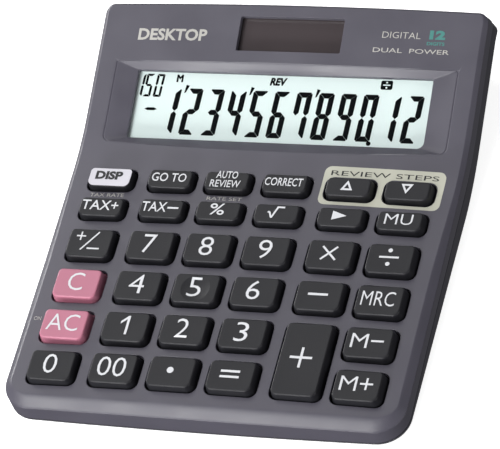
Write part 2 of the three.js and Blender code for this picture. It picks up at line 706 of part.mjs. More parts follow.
const windowSize = [DISPLAY_OPENING.width - 2 * GAP, DISPLAY_OPENING.depth - 2 * GAP];
const windowPlate = box(...windowSize, WINDOW_TOP - WINDOW_THICK, WINDOW_TOP, 0, DISPLAY_V);
addPiece("display_window", windowPlate, 0xdfe6e4, 0.1, 0, display);
const glassPlate = box(GLASS.width, GLASS.depth, GLASS_BOTTOM, GLASS_TOP, 0, DISPLAY_V);
addPiece("lcd_glass", glassPlate, 0xd5e8e5, 0.3, 0, display);
const holderTop = GLASS_BOTTOM - GAP;
const holderV = DISPLAY_V + (GLASS.depth - HOLDER.depth) / 2 + HOLDER.shift;
const holderPlate = box(HOLDER.width, HOLDER.depth, holderTop - HOLDER.thick, holderTop, 0, holderV);
addPiece("display_holder", holderPlate, 0xd9d9d6, 0.6, 0, display);
const plateSize = [SOLAR_PLATE.width, SOLAR_PLATE.depth];
const solarCover = box(...plateSize, SOLAR_TOP - SOLAR_PLATE.thick, SOLAR_TOP, 0, SOLAR_V);
addPiece("solar_window", solarCover, 0x4d4646, 0.15, 0, display);
const cellPlate = box(...plateSize, CELL_PLATE_TOP - SOLAR_PLATE.thick, CELL_PLATE_TOP, 0, SOLAR_V);
addPiece("solar_cell", cellPlate, 0x3a2f30, 0.3, 0, display);
addPiece("lcd_ribbon", displayRibbon(), 0xc9a36a, 0.5);
addPiece("solar_lead", solarLead(), 0xb8483c, 0.5);

for (const [name, [x, y]] of Object.entries(FEET)) {
  addPiece(name, disc(FOOT_R, 0, FOOT_HEIGHT, x, y, 16), 0x1e1e20, 0.9);
}
for (const [end, screw] of Object.entries({ front: FRONT_SCREW, rear: REAR_SCREW })) {
  for (const [side, sign] of Object.entries({ left: -1, right: 1 })) {
    const shape = screwGeometry(sign * screw.x, screw.y, screw.shoulder, screw.length);
    addPiece(`screw_${end}_${side}`, shape, 0xa9abb0, 0.35, 1);
  }
}

addPiece("battery_cover", batteryCover(), 0x4b4a52, 0.6);
addPiece("battery_cover_screw", coverScrew(), 0xa9abb0, 0.35, 1);
addPiece("battery_cell", disc(CELL_R, CELL_BOTTOM, CELL_TOP, CELL_X, BATTERY.y, 20), 0xc4c6ca, 0.3, 1);
const contactLow = CELL_TOP + GAP;
const contactSize = [TOP_CONTACT.width, TOP_CONTACT.depth];
const contactHeights = [contactLow, contactLow + CONTACT_THICK];
const topContact = box(...contactSize, ...contactHeights, CELL_X, BATTERY.y);
addPiece("battery_contact_negative", topContact, 0xc9b48a, 0.35, 1);
const sideX = CELL_X + CELL_R + GAP + CONTACT_THICK / 2;
const sideContact = box(CONTACT_THICK, SIDE_CONTACT_DEPTH, CELL_BOTTOM, CELL_TOP, sideX, BATTERY.y);
addPiece("battery_contact_positive", sideContact, 0xc9b48a, 0.35, 1);

export default calculator;
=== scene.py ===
import math

import bmesh
import bpy
from mathutils import Matrix, Vector
from mathutils.geometry import delaunay_2d_cdt, tessellate_polygon


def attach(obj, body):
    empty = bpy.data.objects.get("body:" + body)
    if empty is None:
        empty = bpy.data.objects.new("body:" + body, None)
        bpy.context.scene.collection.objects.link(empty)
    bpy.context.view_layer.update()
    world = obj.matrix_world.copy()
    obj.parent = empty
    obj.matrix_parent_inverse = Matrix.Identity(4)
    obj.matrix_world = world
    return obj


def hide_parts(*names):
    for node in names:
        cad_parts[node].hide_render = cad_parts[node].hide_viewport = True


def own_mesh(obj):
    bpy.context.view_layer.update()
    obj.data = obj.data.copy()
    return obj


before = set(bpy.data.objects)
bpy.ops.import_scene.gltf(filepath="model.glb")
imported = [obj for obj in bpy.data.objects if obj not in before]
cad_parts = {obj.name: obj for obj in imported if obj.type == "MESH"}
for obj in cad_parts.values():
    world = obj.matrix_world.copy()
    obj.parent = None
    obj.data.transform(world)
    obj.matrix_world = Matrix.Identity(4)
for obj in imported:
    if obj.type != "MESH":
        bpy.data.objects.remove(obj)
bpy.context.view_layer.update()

MM = 0.001
MERGE = 1e-5  # points closer than this are one point
GRID_MARGIN = 1.2

# ---- the case, in millimetres, as the CAD model has it ----
HEIGHT = 28.07
HALF_W = 126.5 / 2
HALF_D = 146.9 / 2
KEYBOARD_TILT = math.radians(2.6)
DISPLAY_TILT = math.radians(17.4)
CREASE_Y = 22.1  # where the keyboard's and the display's slopes would meet
BEND_LENGTH = 22.0  # the soft bend between them
REAR_EDGE_Y = 68.8
REAR_LEAN = HALF_D - REAR_EDGE_Y
CROWN = 1.45  # the panel falls this much from its middle to its sides
FRONT_CORNER_R = 9.5
REAR_CORNER_R = 3.0
FRONT_BOW = 0.6
REAR_ROUND_DROP = 0.5
SKIRT = 6.9  # height of the front housing's side wall
SKIRT_FRONT = 1.3  # and what it gains in front of SKIRT_KINK_Y
SKIRT_KINK_Y = -40.0
RIM = 12.7  # the rear housing's widest line lies this far below the panel
RIM_LOWEST = 0.73
WALL = 1.8
ROOF = 1.7
FLOOR = 1.5
FLOOR_Z = 0.5
SIDE_TAPER = 0.47
REAR_TAPER = 0.3
BASE_INSET = 1.0
GAP = 0.3

KEYBOARD_SLOPE = math.tan(KEYBOARD_TILT)
DISPLAY_SLOPE = math.tan(DISPLAY_TILT)
PANEL_FRONT_Z = (
    HEIGHT
    + REAR_ROUND_DROP
    - (CREASE_Y + HALF_D) * KEYBOARD_SLOPE
    - (REAR_EDGE_Y - CREASE_Y) * DISPLAY_SLOPE
)
CREASE_Z = PANEL_FRONT_Z + (CREASE_Y + HALF_D) * KEYBOARD_SLOPE
BEND_START = CREASE_Y - BEND_LENGTH / 2
BEND_END = CREASE_Y + BEND_LENGTH / 2
TOP_ROW = 82.75  # from the front edge to the top row of keys, along the keyboard
KEYBOARD_Y = -HALF_D + TOP_ROW * math.cos(KEYBOARD_TILT)
KEYBOARD_Z = PANEL_FRONT_Z + (KEYBOARD_Y + HALF_D) * KEYBOARD_SLOPE

# ---- edges of the front housing ----
EDGE_STEPS = [0.0, 0.1, 0.2, 0.32, 0.45, 0.6, 0.75, 0.88, 0.95, 1.0]
FRONT_EDGE = (4.45, 1.75)  # width and drop of the front bevel
FRONT_SOFTNESS = 0.6
SIDE_EDGE_FRONT = (2.6, 1.6)  # the side edges, in front of SIDE_ROUND_Y
SIDE_EDGE_REAR = (1.6, 1.1)  # and behind the bend
SIDE_SOFTNESS = 0.25
SIDE_ROUND_Y = -20.0
REAR_EDGE = (0.9, 0.5)
EDGE_FILLET = 0.15

# ---- openings in the panel ----
KEY_FLANGE = 0.9
KEY_GAP = 0.2
OPENING_CORNER_R = 2.6
OPENING_FILLET = 0.25
DISPLAY_V = 15.1
DISPLAY_SIZE = (97.0, 22.8)
LIP_N = -2.5
WELL_N = -4.0
LIP_RADII = (2.2, 0.5, 0.5, 0.8)
LIP_STEPS = (6, 16)  # points of the lip's corners and sides
LIP_FILLET = 0.2
SURROUND_RADII = (2.2, 0.5, 0.5, 2.6)
SURROUND_X = (-55.7, 56.4)  # where the slopes reach the panel
SURROUND_TOP_V = 28.9
SURROUND_BOTTOM_V = 1.4
SURROUND_BOW = 1.8  # the lower edge dips this much at its middle
BOW_POWER = 6  # keeps the bow to the lower edge
BOW_END = 1.0
SLOPE_FILLET = 0.4
SLOPE_FILLET_SHARE = 0.3  # and no more than this share of a short slope
SLOPE_SHARES = (0.3, 0.6)
SOFT_SHARES = (-1.0, -0.5, 0.0, 0.5, 1.0)
GROOVE = 0.2  # depth of the line round the surround's ends
GROOVE_REACH = (4.6, 2.0)  # it fades in as the slopes get longer than this, over this much
SOLAR_X = 0.8
SOLAR_V = 38.8
SOLAR_SIZE = (34.2, 11.6)
SOLAR_CORNER_R = 0.5
SOLAR_FILLET = 0.06


def rot_frame(origin_y, origin_z, tilt):
    return Matrix.Translation((0, origin_y, origin_z)) @ Matrix.Rotation(tilt, 4, "X")


KEYBOARD = rot_frame(KEYBOARD_Y, KEYBOARD_Z, KEYBOARD_TILT)
DISPLAY = rot_frame(CREASE_Y, CREASE_Z, DISPLAY_TILT)


def panel_z(y):
    run = min(max(y - BEND_START, 0.0), BEND_LENGTH)
    turn = DISPLAY_SLOPE - KEYBOARD_SLOPE
    bend = turn * run * run / (2 * BEND_LENGTH)
    beyond = max(0.0, y - BEND_END) * turn
    return PANEL_FRONT_Z + (y + HALF_D) * KEYBOARD_SLOPE + bend + beyond


def surface_z(x, y):
    return panel_z(y) - CROWN * (x / HALF_W) ** 2


def parting_z(y):
    front = min(max((SKIRT_KINK_Y - y) / (HALF_D + SKIRT_KINK_Y), 0.0), 1.0)
    return panel_z(min(y, REAR_EDGE_Y)) - SKIRT - SKIRT_FRONT * front


def rim_z(y):
    return max(panel_z(min(y, REAR_EDGE_Y)) - RIM, RIM_LOWEST)


def on_panel(local, x, v, sink=0.0):
    """The point of the panel's surface at x and v of a tilted frame, sunk along the frame's normal."""
    n = 0.0
    normal = (local @ Vector((0, 0, 1, 0))).to_3d()
    for _ in range(5):
        p = local @ Vector((x, v, n))
        n += (surface_z(p.x, p.y) - p.z) / normal.z
    return local @ Vector((x, v, n - sink))


def extent(values):
    """Middle and size of a set of numbers."""
    low, high = min(values), max(values)
    return (low + high) / 2, high - low


# ---- mesh making ----
class Shape:
    """Rings of points in millimetres and the faces between them."""

    def __init__(self):
        self.points = []
        self.faces = []

    def ring(self, points):
        start = len(self.points)
        self.points.extend(Vector(p) for p in points)
        return list(range(start, len(self.points)))

    def band(self, a, b):
        self.faces += zip(a, a[1:] + a[:1], b[1:] + b[:1], b)

    def loft(self, rings):
        ids = [self.ring(r) for r in rings]
        for a, b in zip(ids, ids[1:]):
            self.band(a, b)
        return ids[0], ids[-1]

    def fan(self, ring, point):
        centre = self.ring([point])[0]
        self.faces += [(a, b, centre) for a, b in zip(ring, ring[1:] + ring[:1])]

    def solid(self, rings, low_point, high_point):
        """Rings from the bottom up, closed at both ends by fans to a point."""
        low, high = self.loft(rings)
        self.fan(low, low_point)
        self.fan(high, high_point)

    def plate(self, outer, holes, height, step=0.0):
        """Fills between one outer loop and the hole loops, in plan. step adds a grid of points."""
        loops = [outer, *holes]
        outlines = [[self.points[i].to_2d() for i in loop] for loop in loops]
        ids = [i for loop in loops for i in loop]
        loop_of = [k for k, loop in enumerate(loops) for _ in loop]
        flat = [self.points[i].to_2d() for i in ids]
        edges = []
        start = 0
        for loop in loops:
            count = len(loop)
            edges += [(start + i, start + (i + 1) % count) for i in range(count)]
            start += count
        if step:
            extra = grid_points(outlines, height, step)
            ids += self.ring(extra)
            loop_of += [-1] * len(extra)
            flat += [p.to_2d() for p in extra]
        out = delaunay_2d_cdt(flat, edges, [], 0, MERGE, True)
        source = [o[0] for o in out[3]]
        for face in out[2]:
            a, b, c = (source[i] for i in face)
            owner = loop_of[a]
            if owner >= 0 and owner == loop_of[b] == loop_of[c]:
                middle = (flat[a] + flat[b] + flat[c]) / 3
                if inside(middle, outlines[owner]) == (owner > 0):
                    continue
            self.faces.append((ids[a], ids[b], ids[c]))


def grid_points(outlines, height, step):
    """A grid of points inside the first outline, clear of it and of the other outlines' boxes."""
    boxes = []
    for outline in outlines:
        xs = [p.x for p in outline]
        ys = [p.y for p in outline]
        boxes.append((min(xs), max(xs), min(ys), max(ys)))
    left, right, front, rear = boxes[0]
    found = []
    across = int((right - left) / step) + 1
    along = int((rear - front) / step) + 1
    for j in range(1, along):
        for i in range(1, across):
            x = left + (right - left) * i / across
            y = front + (rear - front) * j / along
            if any(
                l - GRID_MARGIN < x < r + GRID_MARGIN and f - GRID_MARGIN < y < b + GRID_MARGIN
                for l, r, f, b in boxes[1:]
            ):
                continue
            point = Vector((x, y))
            if not inside(point, outlines[0]):
                continue
            if min((p - point).length_squared for p in outlines[0]) < GRID_MARGIN**2:
                continue
            found.append(Vector((x, y, height(x, y))))
    return found


def inside(point, outline):
    """Whether a point of the plane lies inside a closed outline."""
    hit = False
    x, y = point
    for p, q in zip(outline, outline[1:] + outline[:1]):
        if (p.y > y) != (q.y > y) and x < p.x + (y - p.y) * (q.x - p.x) / (q.y - p.y):
            hit = not hit
    return hit


def add_object(name, data):
    item = bpy.data.objects.new(name, data)
    bpy.context.scene.collection.objects.link(item)
    return item


def make_piece(name, shape, material, body, sharp=38.0, weighted=True):
    """One mesh object, in metres, from a shape in millimetres."""
    mesh = bpy.data.meshes.new(name)
    mesh.from_pydata([p * MM for p in shape.points], [], shape.faces)
    build = bmesh.new()
    build.from_mesh(mesh)
    bmesh.ops.recalc_face_normals(build, faces=build.faces)
    build.to_mesh(mesh)
    build.free()
    mesh.shade_smooth()
    mesh.set_sharp_from_angle(angle=math.radians(sharp))
    mesh.materials.append(material)
    piece = add_object(name, mesh)
    if weighted:
        modifier = piece.modifiers.new("weighted", "WEIGHTED_NORMAL")
        modifier.keep_sharp = True
    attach(piece, body)
    return piece


def rounded(width, depth, radii, corner_steps=5, side_steps=4):
    """A rounded rectangle, anticlockwise from the front right corner. One radius per corner."""
    if not hasattr(radii, "__len__"):
        radii = [radii] * 4
    corners = [(1, -1, -90), (1, 1, 0), (-1, 1, 90), (-1, -1, 180)]
    points = []
    arcs = []
    for (sx, sy, start), radius in zip(corners, radii):
        cx = sx * (width / 2 - radius)
        cy = sy * (depth / 2 - radius)
        arc = []
        for step in range(corner_steps + 1):
            angle = math.radians(start + 90 * step / corner_steps)
            arc.append(Vector((cx + radius * math.cos(angle), cy + radius * math.sin(angle))))
        arcs.append(arc)
    for k, arc in enumerate(arcs):
        points += arc
        following = arcs[(k + 1) % 4][0]
        points += [arc[-1].lerp(following, s / side_steps) for s in range(1, side_steps)]
    return points


# ---- materials ----
CLOUD_SCALE = 60.0
CLOUD_DETAIL = 4.0
CLOUD_RANGE = (0.3, 0.7)
GRAIN_DETAIL = 2.0
GRAIN_DEPTH = 0.0002


def linear(c):
    """The linear value of an sRGB channel out of 255."""
    c /= 255
    return c / 12.92 if c <= 0.04045 else ((c + 0.055) / 1.055) ** 2.4


def put_values(node, values):
    for socket, value in values.items():
        node.inputs[socket].default_value = value


def plastic(name, colour, rough=0.45, specular=0.5, grain=900.0, bump=0.05, mottle=0.06,
            rough_spread=0.06):
    """Moulded plastic: fine grain, a slight mottle in colour and a patchy gloss."""
    material = bpy.data.materials.new(name)
    material.use_nodes = True
    nodes = material.node_tree.nodes
    link = material.node_tree.links.new
    shader = nodes["Principled BSDF"]
    put_values(shader, {"Specular IOR Level": specular})
    place = nodes.new("ShaderNodeTexCoord")

    def noise(scale, detail):
        node = nodes.new("ShaderNodeTexNoise")
        put_values(node, {"Scale": scale, "Detail": detail})
        link(place.outputs["Object"], node.inputs["Vector"])
        return node.outputs["Fac"]

    cloud = noise(CLOUD_SCALE, CLOUD_DETAIL)
    ramp = nodes.new("ShaderNodeValToRGB")
    for element, position, change in zip(ramp.color_ramp.elements, CLOUD_RANGE, (-mottle, mottle)):
        element.position = position
        element.color = [min(1.0, linear(c) * (1 + change)) for c in colour] + [1.0]
    link(cloud, ramp.inputs["Fac"])
    link(ramp.outputs["Color"], shader.inputs["Base Color"])

    spread = nodes.new("ShaderNodeMapRange")
    put_values(spread, {
        "From Min": CLOUD_RANGE[0], "From Max": CLOUD_RANGE[1],
        "To Min": rough - rough_spread, "To Max": rough + rough_spread,
    })
    link(cloud, spread.inputs["Value"])
    link(spread.outputs["Result"], shader.inputs["Roughness"])

    relief = nodes.new("ShaderNodeBump")
    put_values(relief, {"Strength": bump, "Distance": GRAIN_DEPTH})
    link(noise(grain, GRAIN_DETAIL), relief.inputs["Height"])
    link(relief.outputs["Normal"], shader.inputs["Normal"])
    return material


def shader_of(material):
    return material.node_tree.nodes["Principled BSDF"]


FRONT_CASE = plastic("front_case_plastic", (74, 72, 82), rough=0.4, bump=0.10)
REAR_CASE = plastic("rear_case_plastic", (60, 59, 66), rough=0.55, bump=0.15)
KEY_DARK = plastic("key_dark_plastic", (28, 28, 32), specular=0.3, bump=0.06)
KEY_PINK = plastic("key_pink_plastic", (176, 110, 130), rough=0.42, specular=0.4, bump=0.06)
KEY_PALE = plastic("key_pale_plastic", (198, 196, 204), rough=0.42, specular=0.4, bump=0.06)
INK_WHITE = plastic("white_ink", (206, 207, 211), rough=0.4, specular=0.3, grain=2500, bump=0.02,
                    mottle=0.02)
INK_DARK, INK_GREY, INK_TEAL, INK_BEIGE = (
    plastic(name, colour, rough=0.5, grain=2500, bump=0.02)
    for name, colour in (
        ("dark_ink", (10, 11, 17)),
        ("grey_ink", (172, 170, 165)),
        ("teal_ink", (62, 122, 117)),
        ("beige_ink", (184, 184, 170)),
    )
)
LCD_MINT = plastic("lcd_mint", (220, 235, 233), rough=0.35, specular=0.2, grain=4000, bump=0.01,
                   mottle=0.012, rough_spread=0.02)
LCD_INK = plastic("lcd_ink", (3, 6, 8), rough=0.5, specular=0.05, grain=2500, bump=0.01)
RUBBER = plastic("foot_rubber", (38, 38, 40), rough=0.85, specular=0.3, grain=1400, bump=0.3)
SILICONE = plastic("silicone", (150, 152, 156), rough=0.6, specular=0.4, grain=700, bump=0.1)
BOARD = plastic("board", (46, 98, 60), rough=0.4, grain=500, bump=0.1, mottle=0.15)
EPOXY = plastic("epoxy", (24, 24, 26), rough=0.25, grain=300, bump=0.1)
HOLDER = plastic("holder_plastic", (214, 214, 210), rough=0.5)
CABLE = plastic("flat_cable", (190, 140, 70), rough=0.3, mottle=0.15)
LEAD = plastic("lead_sleeve", (180, 60, 50))
SOLAR_CELL = plastic("solar_cell", (76, 62, 62), rough=0.25, mottle=0.1)


def metal(name, colour, rough):
    material = plastic(name, colour, rough=rough, mottle=0.05, grain=1500, bump=0.08)
    put_values(shader_of(material), {"Metallic": 1.0})
    return material


STEEL = metal("steel", (176, 178, 182), 0.3)
CELL_CAN = metal("cell_can", (200, 202, 206), 0.22)
SPRING_METAL = metal("spring_metal", (196, 176, 130), 0.3)


def clear(name, colour, alpha, rough):
    material = plastic(name, colour, rough=rough, grain=300, bump=0.005, mottle=0.02, rough_spread=0.01)
    put_values(shader_of(material), {"Alpha": alpha})
    return material


CLEAR_WINDOW = clear("clear_window", (20, 22, 22), 0.04, 0.06)
TINTED_WINDOW = clear("tinted_window", (73, 66, 68), 0.78, 0.12)

# ---- the case outline ----
SIDE_STEPS = 40
ARC_STEPS_FRONT = 14
ARC_STEPS_REAR = 7


def smooth(t):
    t = min(max(t, 0.0), 1.0)
    return t * t * (3 - 2 * t)


def outline_points(lean):
    """Points of the case's plan outline, anticlockwise from the front left corner's end: (point,
    outward normal, share front, share rear). lean moves the rear edge forward."""
    side_end = HALF_D - lean - REAR_CORNER_R
    corner_y = -HALF_D + FRONT_BOW + FRONT_CORNER_R
    half_front = HALF_W - FRONT_CORNER_R
    half_rear = HALF_W - REAR_CORNER_R
    found = []

    def put(x, y, nx, ny, front, rear):
        found.append((Vector((x, y)), Vector((nx, ny)).normalized(), front, rear))

    def corner(x, y, radius, first, steps, whole, shares):
        for i in steps:
            a = math.pi / 2 * (first + i / whole)
            c, s = math.cos(a), math.sin(a)
            put(x + radius * c, y + radius * s, c, s, *shares(i / whole))

    for i in range(SIDE_STEPS + 1):
        x = half_front * (2 * i / SIDE_STEPS - 1)
        slope = 2 * FRONT_BOW * x / half_front**2
        put(x, -HALF_D + FRONT_BOW * (x / half_front) ** 2, slope, -1, 1, 0)
    steps = range(1, ARC_STEPS_FRONT + 1)
    corner(half_front, corner_y, FRONT_CORNER_R, -1, steps, ARC_STEPS_FRONT, lambda t: (smooth(1 - t), 0))
    for i in range(1, SIDE_STEPS):
        put(HALF_W, corner_y + (side_end - corner_y) * i / SIDE_STEPS, 1, 0, 0, 0)
    rear = (range(ARC_STEPS_REAR + 1), ARC_STEPS_REAR)
    corner(half_rear, side_end, REAR_CORNER_R, 0, *rear, lambda t: (0, smooth(t)))
    for i in range(1, SIDE_STEPS):
        put(half_rear * (1 - 2 * i / SIDE_STEPS), HALF_D - lean, 0, 1, 0, 1)
    corner(-half_rear, side_end, REAR_CORNER_R, 1, *rear, lambda t: (0, smooth(1 - t)))
    for i in range(1, SIDE_STEPS):
        put(-HALF_W, side_end + (corner_y - side_end) * i / SIDE_STEPS, -1, 0, 0, 0)
    steps = range(ARC_STEPS_FRONT)
    corner(-half_front, corner_y, FRONT_CORNER_R, 2, steps, ARC_STEPS_FRONT, lambda t: (smooth(t), 0))
    return found


def lean_at(drop):
    """How far the sloping rear wall has still to go at a drop below the panel."""
    return REAR_LEAN * (1 - min(max((drop - REAR_ROUND_DROP) / (RIM - REAR_ROUND_DROP), 0), 1))


def edge_size(y, front, rear):
    """Width and drop of the panel's rounded edge at a place on the outline."""
    share = min(max((y - SIDE_ROUND_Y) / (BEND_START - SIDE_ROUND_Y), 0.0), 1.0)
    side = [a + (b - a) * share for a, b in zip(SIDE_EDGE_FRONT, SIDE_EDGE_REAR)]
    parts = zip(FRONT_EDGE, REAR_EDGE, side)
    return [f * front + r * rear + s * (1 - front - rear) for f, r, s in parts]


def case_ring(inset, height, lean):
    """A ring round the case, moved in by an inset, at a height that depends on y."""
    spots = [point - normal * inset for point, normal, _, _ in outline_points(lean)]
    return [(p.x, p.y, height(p.y)) for p in spots]


def edge_ring(t):
    """A ring on the rounded edge: t is 0 on the panel and 1 where the wall starts."""
    ring = []
    for point, normal, front, rear in outline_points(REAR_LEAN):
        width, drop = edge_size(point.y, front, rear)
        soft = SIDE_SOFTNESS + (FRONT_SOFTNESS - SIDE_SOFTNESS) * front
        p = point - normal * width * (1 - t)
        fall = drop * (1 + soft) * t * t / (t + soft)
        ring.append((p.x, p.y, surface_z(p.x, p.y) - fall))
    return ring


def wall_ring(share, inset=0.0, offset=0.0):
    """A ring of the front housing's side wall: share 0 at the rounded edge, 1 at the parting line."""
    ring = []
    at_top = outline_points(REAR_LEAN)
    at_low = outline_points(lean_at(SKIRT))
    for (p, normal, front, rear), (q, _, _, _) in zip(at_top, at_low):
        top = surface_z(p.x, p.y) - edge_size(p.y, front, rear)[1]
        low = parting_z(p.y)
        point = p.lerp(q, share) - normal * inset
        ring.append((point.x, point.y, top + (low - top) * share + offset))
    return ring


# ---- front housing ----
FACE_TOLERANCE = 0.01


def key_sizes():
    """Centre, size and heights of each key in the keyboard frame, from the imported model."""
    to_keyboard = KEYBOARD.inverted()
    found = {}
    for name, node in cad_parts.items():
        if not name.startswith("key_"):
            continue
        points = [to_keyboard @ (v.co / MM) for v in node.data.vertices]
        x, width = extent([p.x for p in points])
        v, depth = extent([p.y for p in points])
        top = max(p.z for p in points)
        face = [p for p in points if p.z > top - FACE_TOLERANCE]
        top_v, top_depth = extent([p.y for p in face])
        found[name] = dict(
            x=x, v=v, width=width - 2 * KEY_FLANGE, depth=depth - 2 * KEY_FLANGE, top=top,
            low=min(p.z for p in points), top_width=extent([p.x for p in face])[1],
            top_depth=top_depth, shift=top_v - v,
        )
    return found


KEYS = key_sizes()


def quarter_round(radius, angles=(0, 30, 60, 90)):
    """Steps round a quarter circle, as the distances left to its two tangents."""
    turns = [math.radians(angle) for angle in angles]
    return [(radius * (1 - math.cos(a)), radius * (1 - math.sin(a))) for a in turns]


def opening_rings(local, x, v, width, depth, radius, fillet):
    """Rings from the panel's surface over a small fillet and down the wall of an opening."""
    rings = []
    for sink, out in quarter_round(fillet):
        loop = rounded(width + 2 * out, depth + 2 * out, radius + out)
        rings.append([on_panel(local, x + p.x, v + p.y, sink) for p in loop])
    loop = rounded(width, depth, radius)
    rings.append([on_panel(local, x + p.x, v + p.y, ROOF) for p in loop])
    return rings


def surround_loops():
    """Matching points of the display surround: on the lip, and where the slopes reach the panel."""
    width, depth = DISPLAY_SIZE
    left, right = SURROUND_X
    inner = rounded(width, depth, LIP_RADII, *LIP_STEPS)
    outer_depth = SURROUND_TOP_V - SURROUND_BOTTOM_V
    outer = rounded(right - left, outer_depth, SURROUND_RADII, *LIP_STEPS)
    middle_x = (left + right) / 2
    middle_v = (SURROUND_TOP_V + SURROUND_BOTTOM_V) / 2
    lips = [Vector((p.x, p.y + DISPLAY_V)) for p in inner]
    outs = []
    for p in outer:
        at_low = max(0.0, -p.y / (outer_depth / 2)) ** BOW_POWER
        across = min(abs(p.x) / (right - BOW_END), 1.0)
        outs.append(Vector((p.x + middle_x, p.y + middle_v - SURROUND_BOW * at_low * (1 - across**2))))
    return lips, outs


def on_display(p, n):
    return DISPLAY @ Vector((p.x, p.y, n))


def panel_n(x, v):
    """Height of the panel's surface over the display frame's plane."""
    to_display = DISPLAY.inverted()
    return (to_display @ on_panel(DISPLAY, x, v)).z


def smooth_min(a, b, k):
    """The lesser of two heights, rounded where they differ by less than k."""
    h = max(k - abs(a - b), 0.0) / k
    return min(a, b) - h * h * k / 4


def surround_rings():
    """Rings of the surround: up the well, over the lip, along the slopes and out on to the panel."""
    lips, outs = surround_loops()
    rims = [panel_n(o.x, o.y) for o in outs]
    rings = [[on_display(lip, WELL_N) for lip in lips]]
    for out_by, drop in quarter_round(LIP_FILLET):
        spots = [lip + (out - lip).normalized() * out_by for lip, out in zip(lips, outs)]
        rings.append([on_display(spot, LIP_N - drop) for spot in spots])

    def slope_ring(run, groove=0.0):
        ring = []
        for lip, out, rim in zip(lips, outs, rims):
            reach = (out - lip).length
            soft = min(SLOPE_FILLET_SHARE * reach, SLOPE_FILLET)
            s = run(reach, soft)
            spot = lip + (out - lip) * (s / reach)
            slope = LIP_N + (rim - LIP_N) * s / reach
            k = abs((rim - LIP_N) * soft / reach)
            n = smooth_min(slope, panel_n(spot.x, spot.y), k)
            n -= groove * smooth((reach - GROOVE_REACH[0]) / GROOVE_REACH[1])
            ring.append(on_display(spot, n))
        return ring

    rings += [slope_ring(lambda reach, soft, t=t: (reach - soft) * t) for t in SLOPE_SHARES]
    for t in SOFT_SHARES:
        rings.append(slope_ring(lambda reach, soft, t=t: reach + soft * t, GROOVE * (1 - abs(t))))
    return rings


SEAT_WIDTH = 2.2  # the ledge under the lip that holds the display's window
SKIN_WIDTH = 1.6  # how far the surround's underside runs on below the panel
UNDER_DROP = 1.2  # chamfer between the panel's underside and the wall's inside
FRONT_INSET = 2.0  # the panel's underside stays this much further in behind the front bevel
WALL_SHARES = (0.35, 0.7)
WALL_START = 0.02
PARTING_EDGE = ((0, 0.2), (0.06, 0.06), (0.2, 0), (WALL, 0))  # inset, and height over the parting line
GRID_TOP = 4.0  # spacing of the panel's inner points, on top and underneath
GRID_UNDER = 9.0


def front_housing():
    shape = Shape()
    rings = [edge_ring(t) for t in EDGE_STEPS[:-1]]
    rings.append(wall_ring(0, EDGE_FILLET))
    rings += [wall_ring(0, inset, -down - WALL_START) for down, inset in quarter_round(EDGE_FILLET)[1:]]
    rings += [wall_ring(share) for share in WALL_SHARES]
    rings += [wall_ring(1, inset, rise) for inset, rise in PARTING_EDGE]
    for drop, inset in ((ROOF + UNDER_DROP, WALL), (ROOF, WALL + UNDER_DROP)):
        ring = []
        for point, normal, front, rear in outline_points(REAR_LEAN):
            p = point - normal * (inset + FRONT_INSET * front)
            ring.append((p.x, p.y, surface_z(p.x, p.y) - drop))
        rings.append(ring)
    top, low = shape.loft(rings)

    places = [
        (KEYBOARD, key["x"], key["v"], key["width"] + 2 * KEY_GAP, key["depth"] + 2 * KEY_GAP,
         OPENING_CORNER_R, OPENING_FILLET)
        for key in KEYS.values()
    ]
    places.append((DISPLAY, SOLAR_X, SOLAR_V, *SOLAR_SIZE, SOLAR_CORNER_R, SOLAR_FILLET))
    openings, under = map(list, zip(*(shape.loft(opening_rings(*place)) for place in places)))

    lip, out = shape.loft(surround_rings())
    openings.append(out)
    seat = []
    skin = []
    for p, q in zip(*surround_loops()):
        way = (q - p).normalized()
        seat.append(on_display(p + way * SEAT_WIDTH, WELL_N))
        spot = q + way * SKIN_WIDTH
        skin.append(on_panel(DISPLAY, spot.x, spot.y, ROOF))
    seat_ids = shape.ring(seat)
    skin_ids = shape.ring(skin)
    shape.band(lip, seat_ids)
    shape.band(seat_ids, skin_ids)
    under.append(skin_ids)

    shape.plate(top, openings, surface_z, step=GRID_TOP)
    shape.plate(low, under, lambda x, y: surface_z(x, y) - ROOF, step=GRID_UNDER)
    piece = make_piece("front_shell", shape, FRONT_CASE, "case")
    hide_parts("front_housing")


front_housing()

# ---- rear housing ----
REAR_PARTING_EDGE = ((0.15, 0), (0.04, 0.04), (0.0, 0.12))  # inset, and drop below its top
RIM_EDGE = ((0.0, 0.12, 0.04), (0.04, 0.03, 0.0), (0.15, -0.05, 0.0))  # inset, rise over the rim, lean
BASE_EDGE = 0.12
INNER_RIM_RISE = 0.6
INNER_LEAST_WALL = 0.2
REAR_TAPER_REACH = 30
INNER_BASE_INSET = 1.15
FOOT_WELL_R = 4.8
FOOT_WELL_ROOF = 1.5
FEET = [(-45, -60), (45, -60), (-41, 54), (41, 54)]
HEAD_WELL_R = 2.4
SHANK_HOLE_R = 1.3
SCREWS = [  # x, y, shoulder, top of the boss, radius of the boss
    (side * x, *rest)
    for x, *rest in ((38.9, -68.2, 2.4, 4.0, 2.7), (47.5, 61.5, 9.0, 12.0, 4.0))
    for side in (-1, 1)
]
BATTERY_AT = (-18, 45)
BATTERY_SIZE = (24, 17)
BATTERY_CORNER_R = 0.6
BATTERY_WALL = 1.4
BATTERY_ROOF = 9.2


def circle(x, y, z, radius, sides=32):
    angles = [2 * math.pi * i / sides for i in range(sides)]
    return [(x + radius * math.cos(a), y + radius * math.sin(a), z) for a in angles]


def rectangle(x, y, z, width, depth):
    return [(x + p.x, y + p.y, z) for p in rounded(width, depth, BATTERY_CORNER_R, 3)]


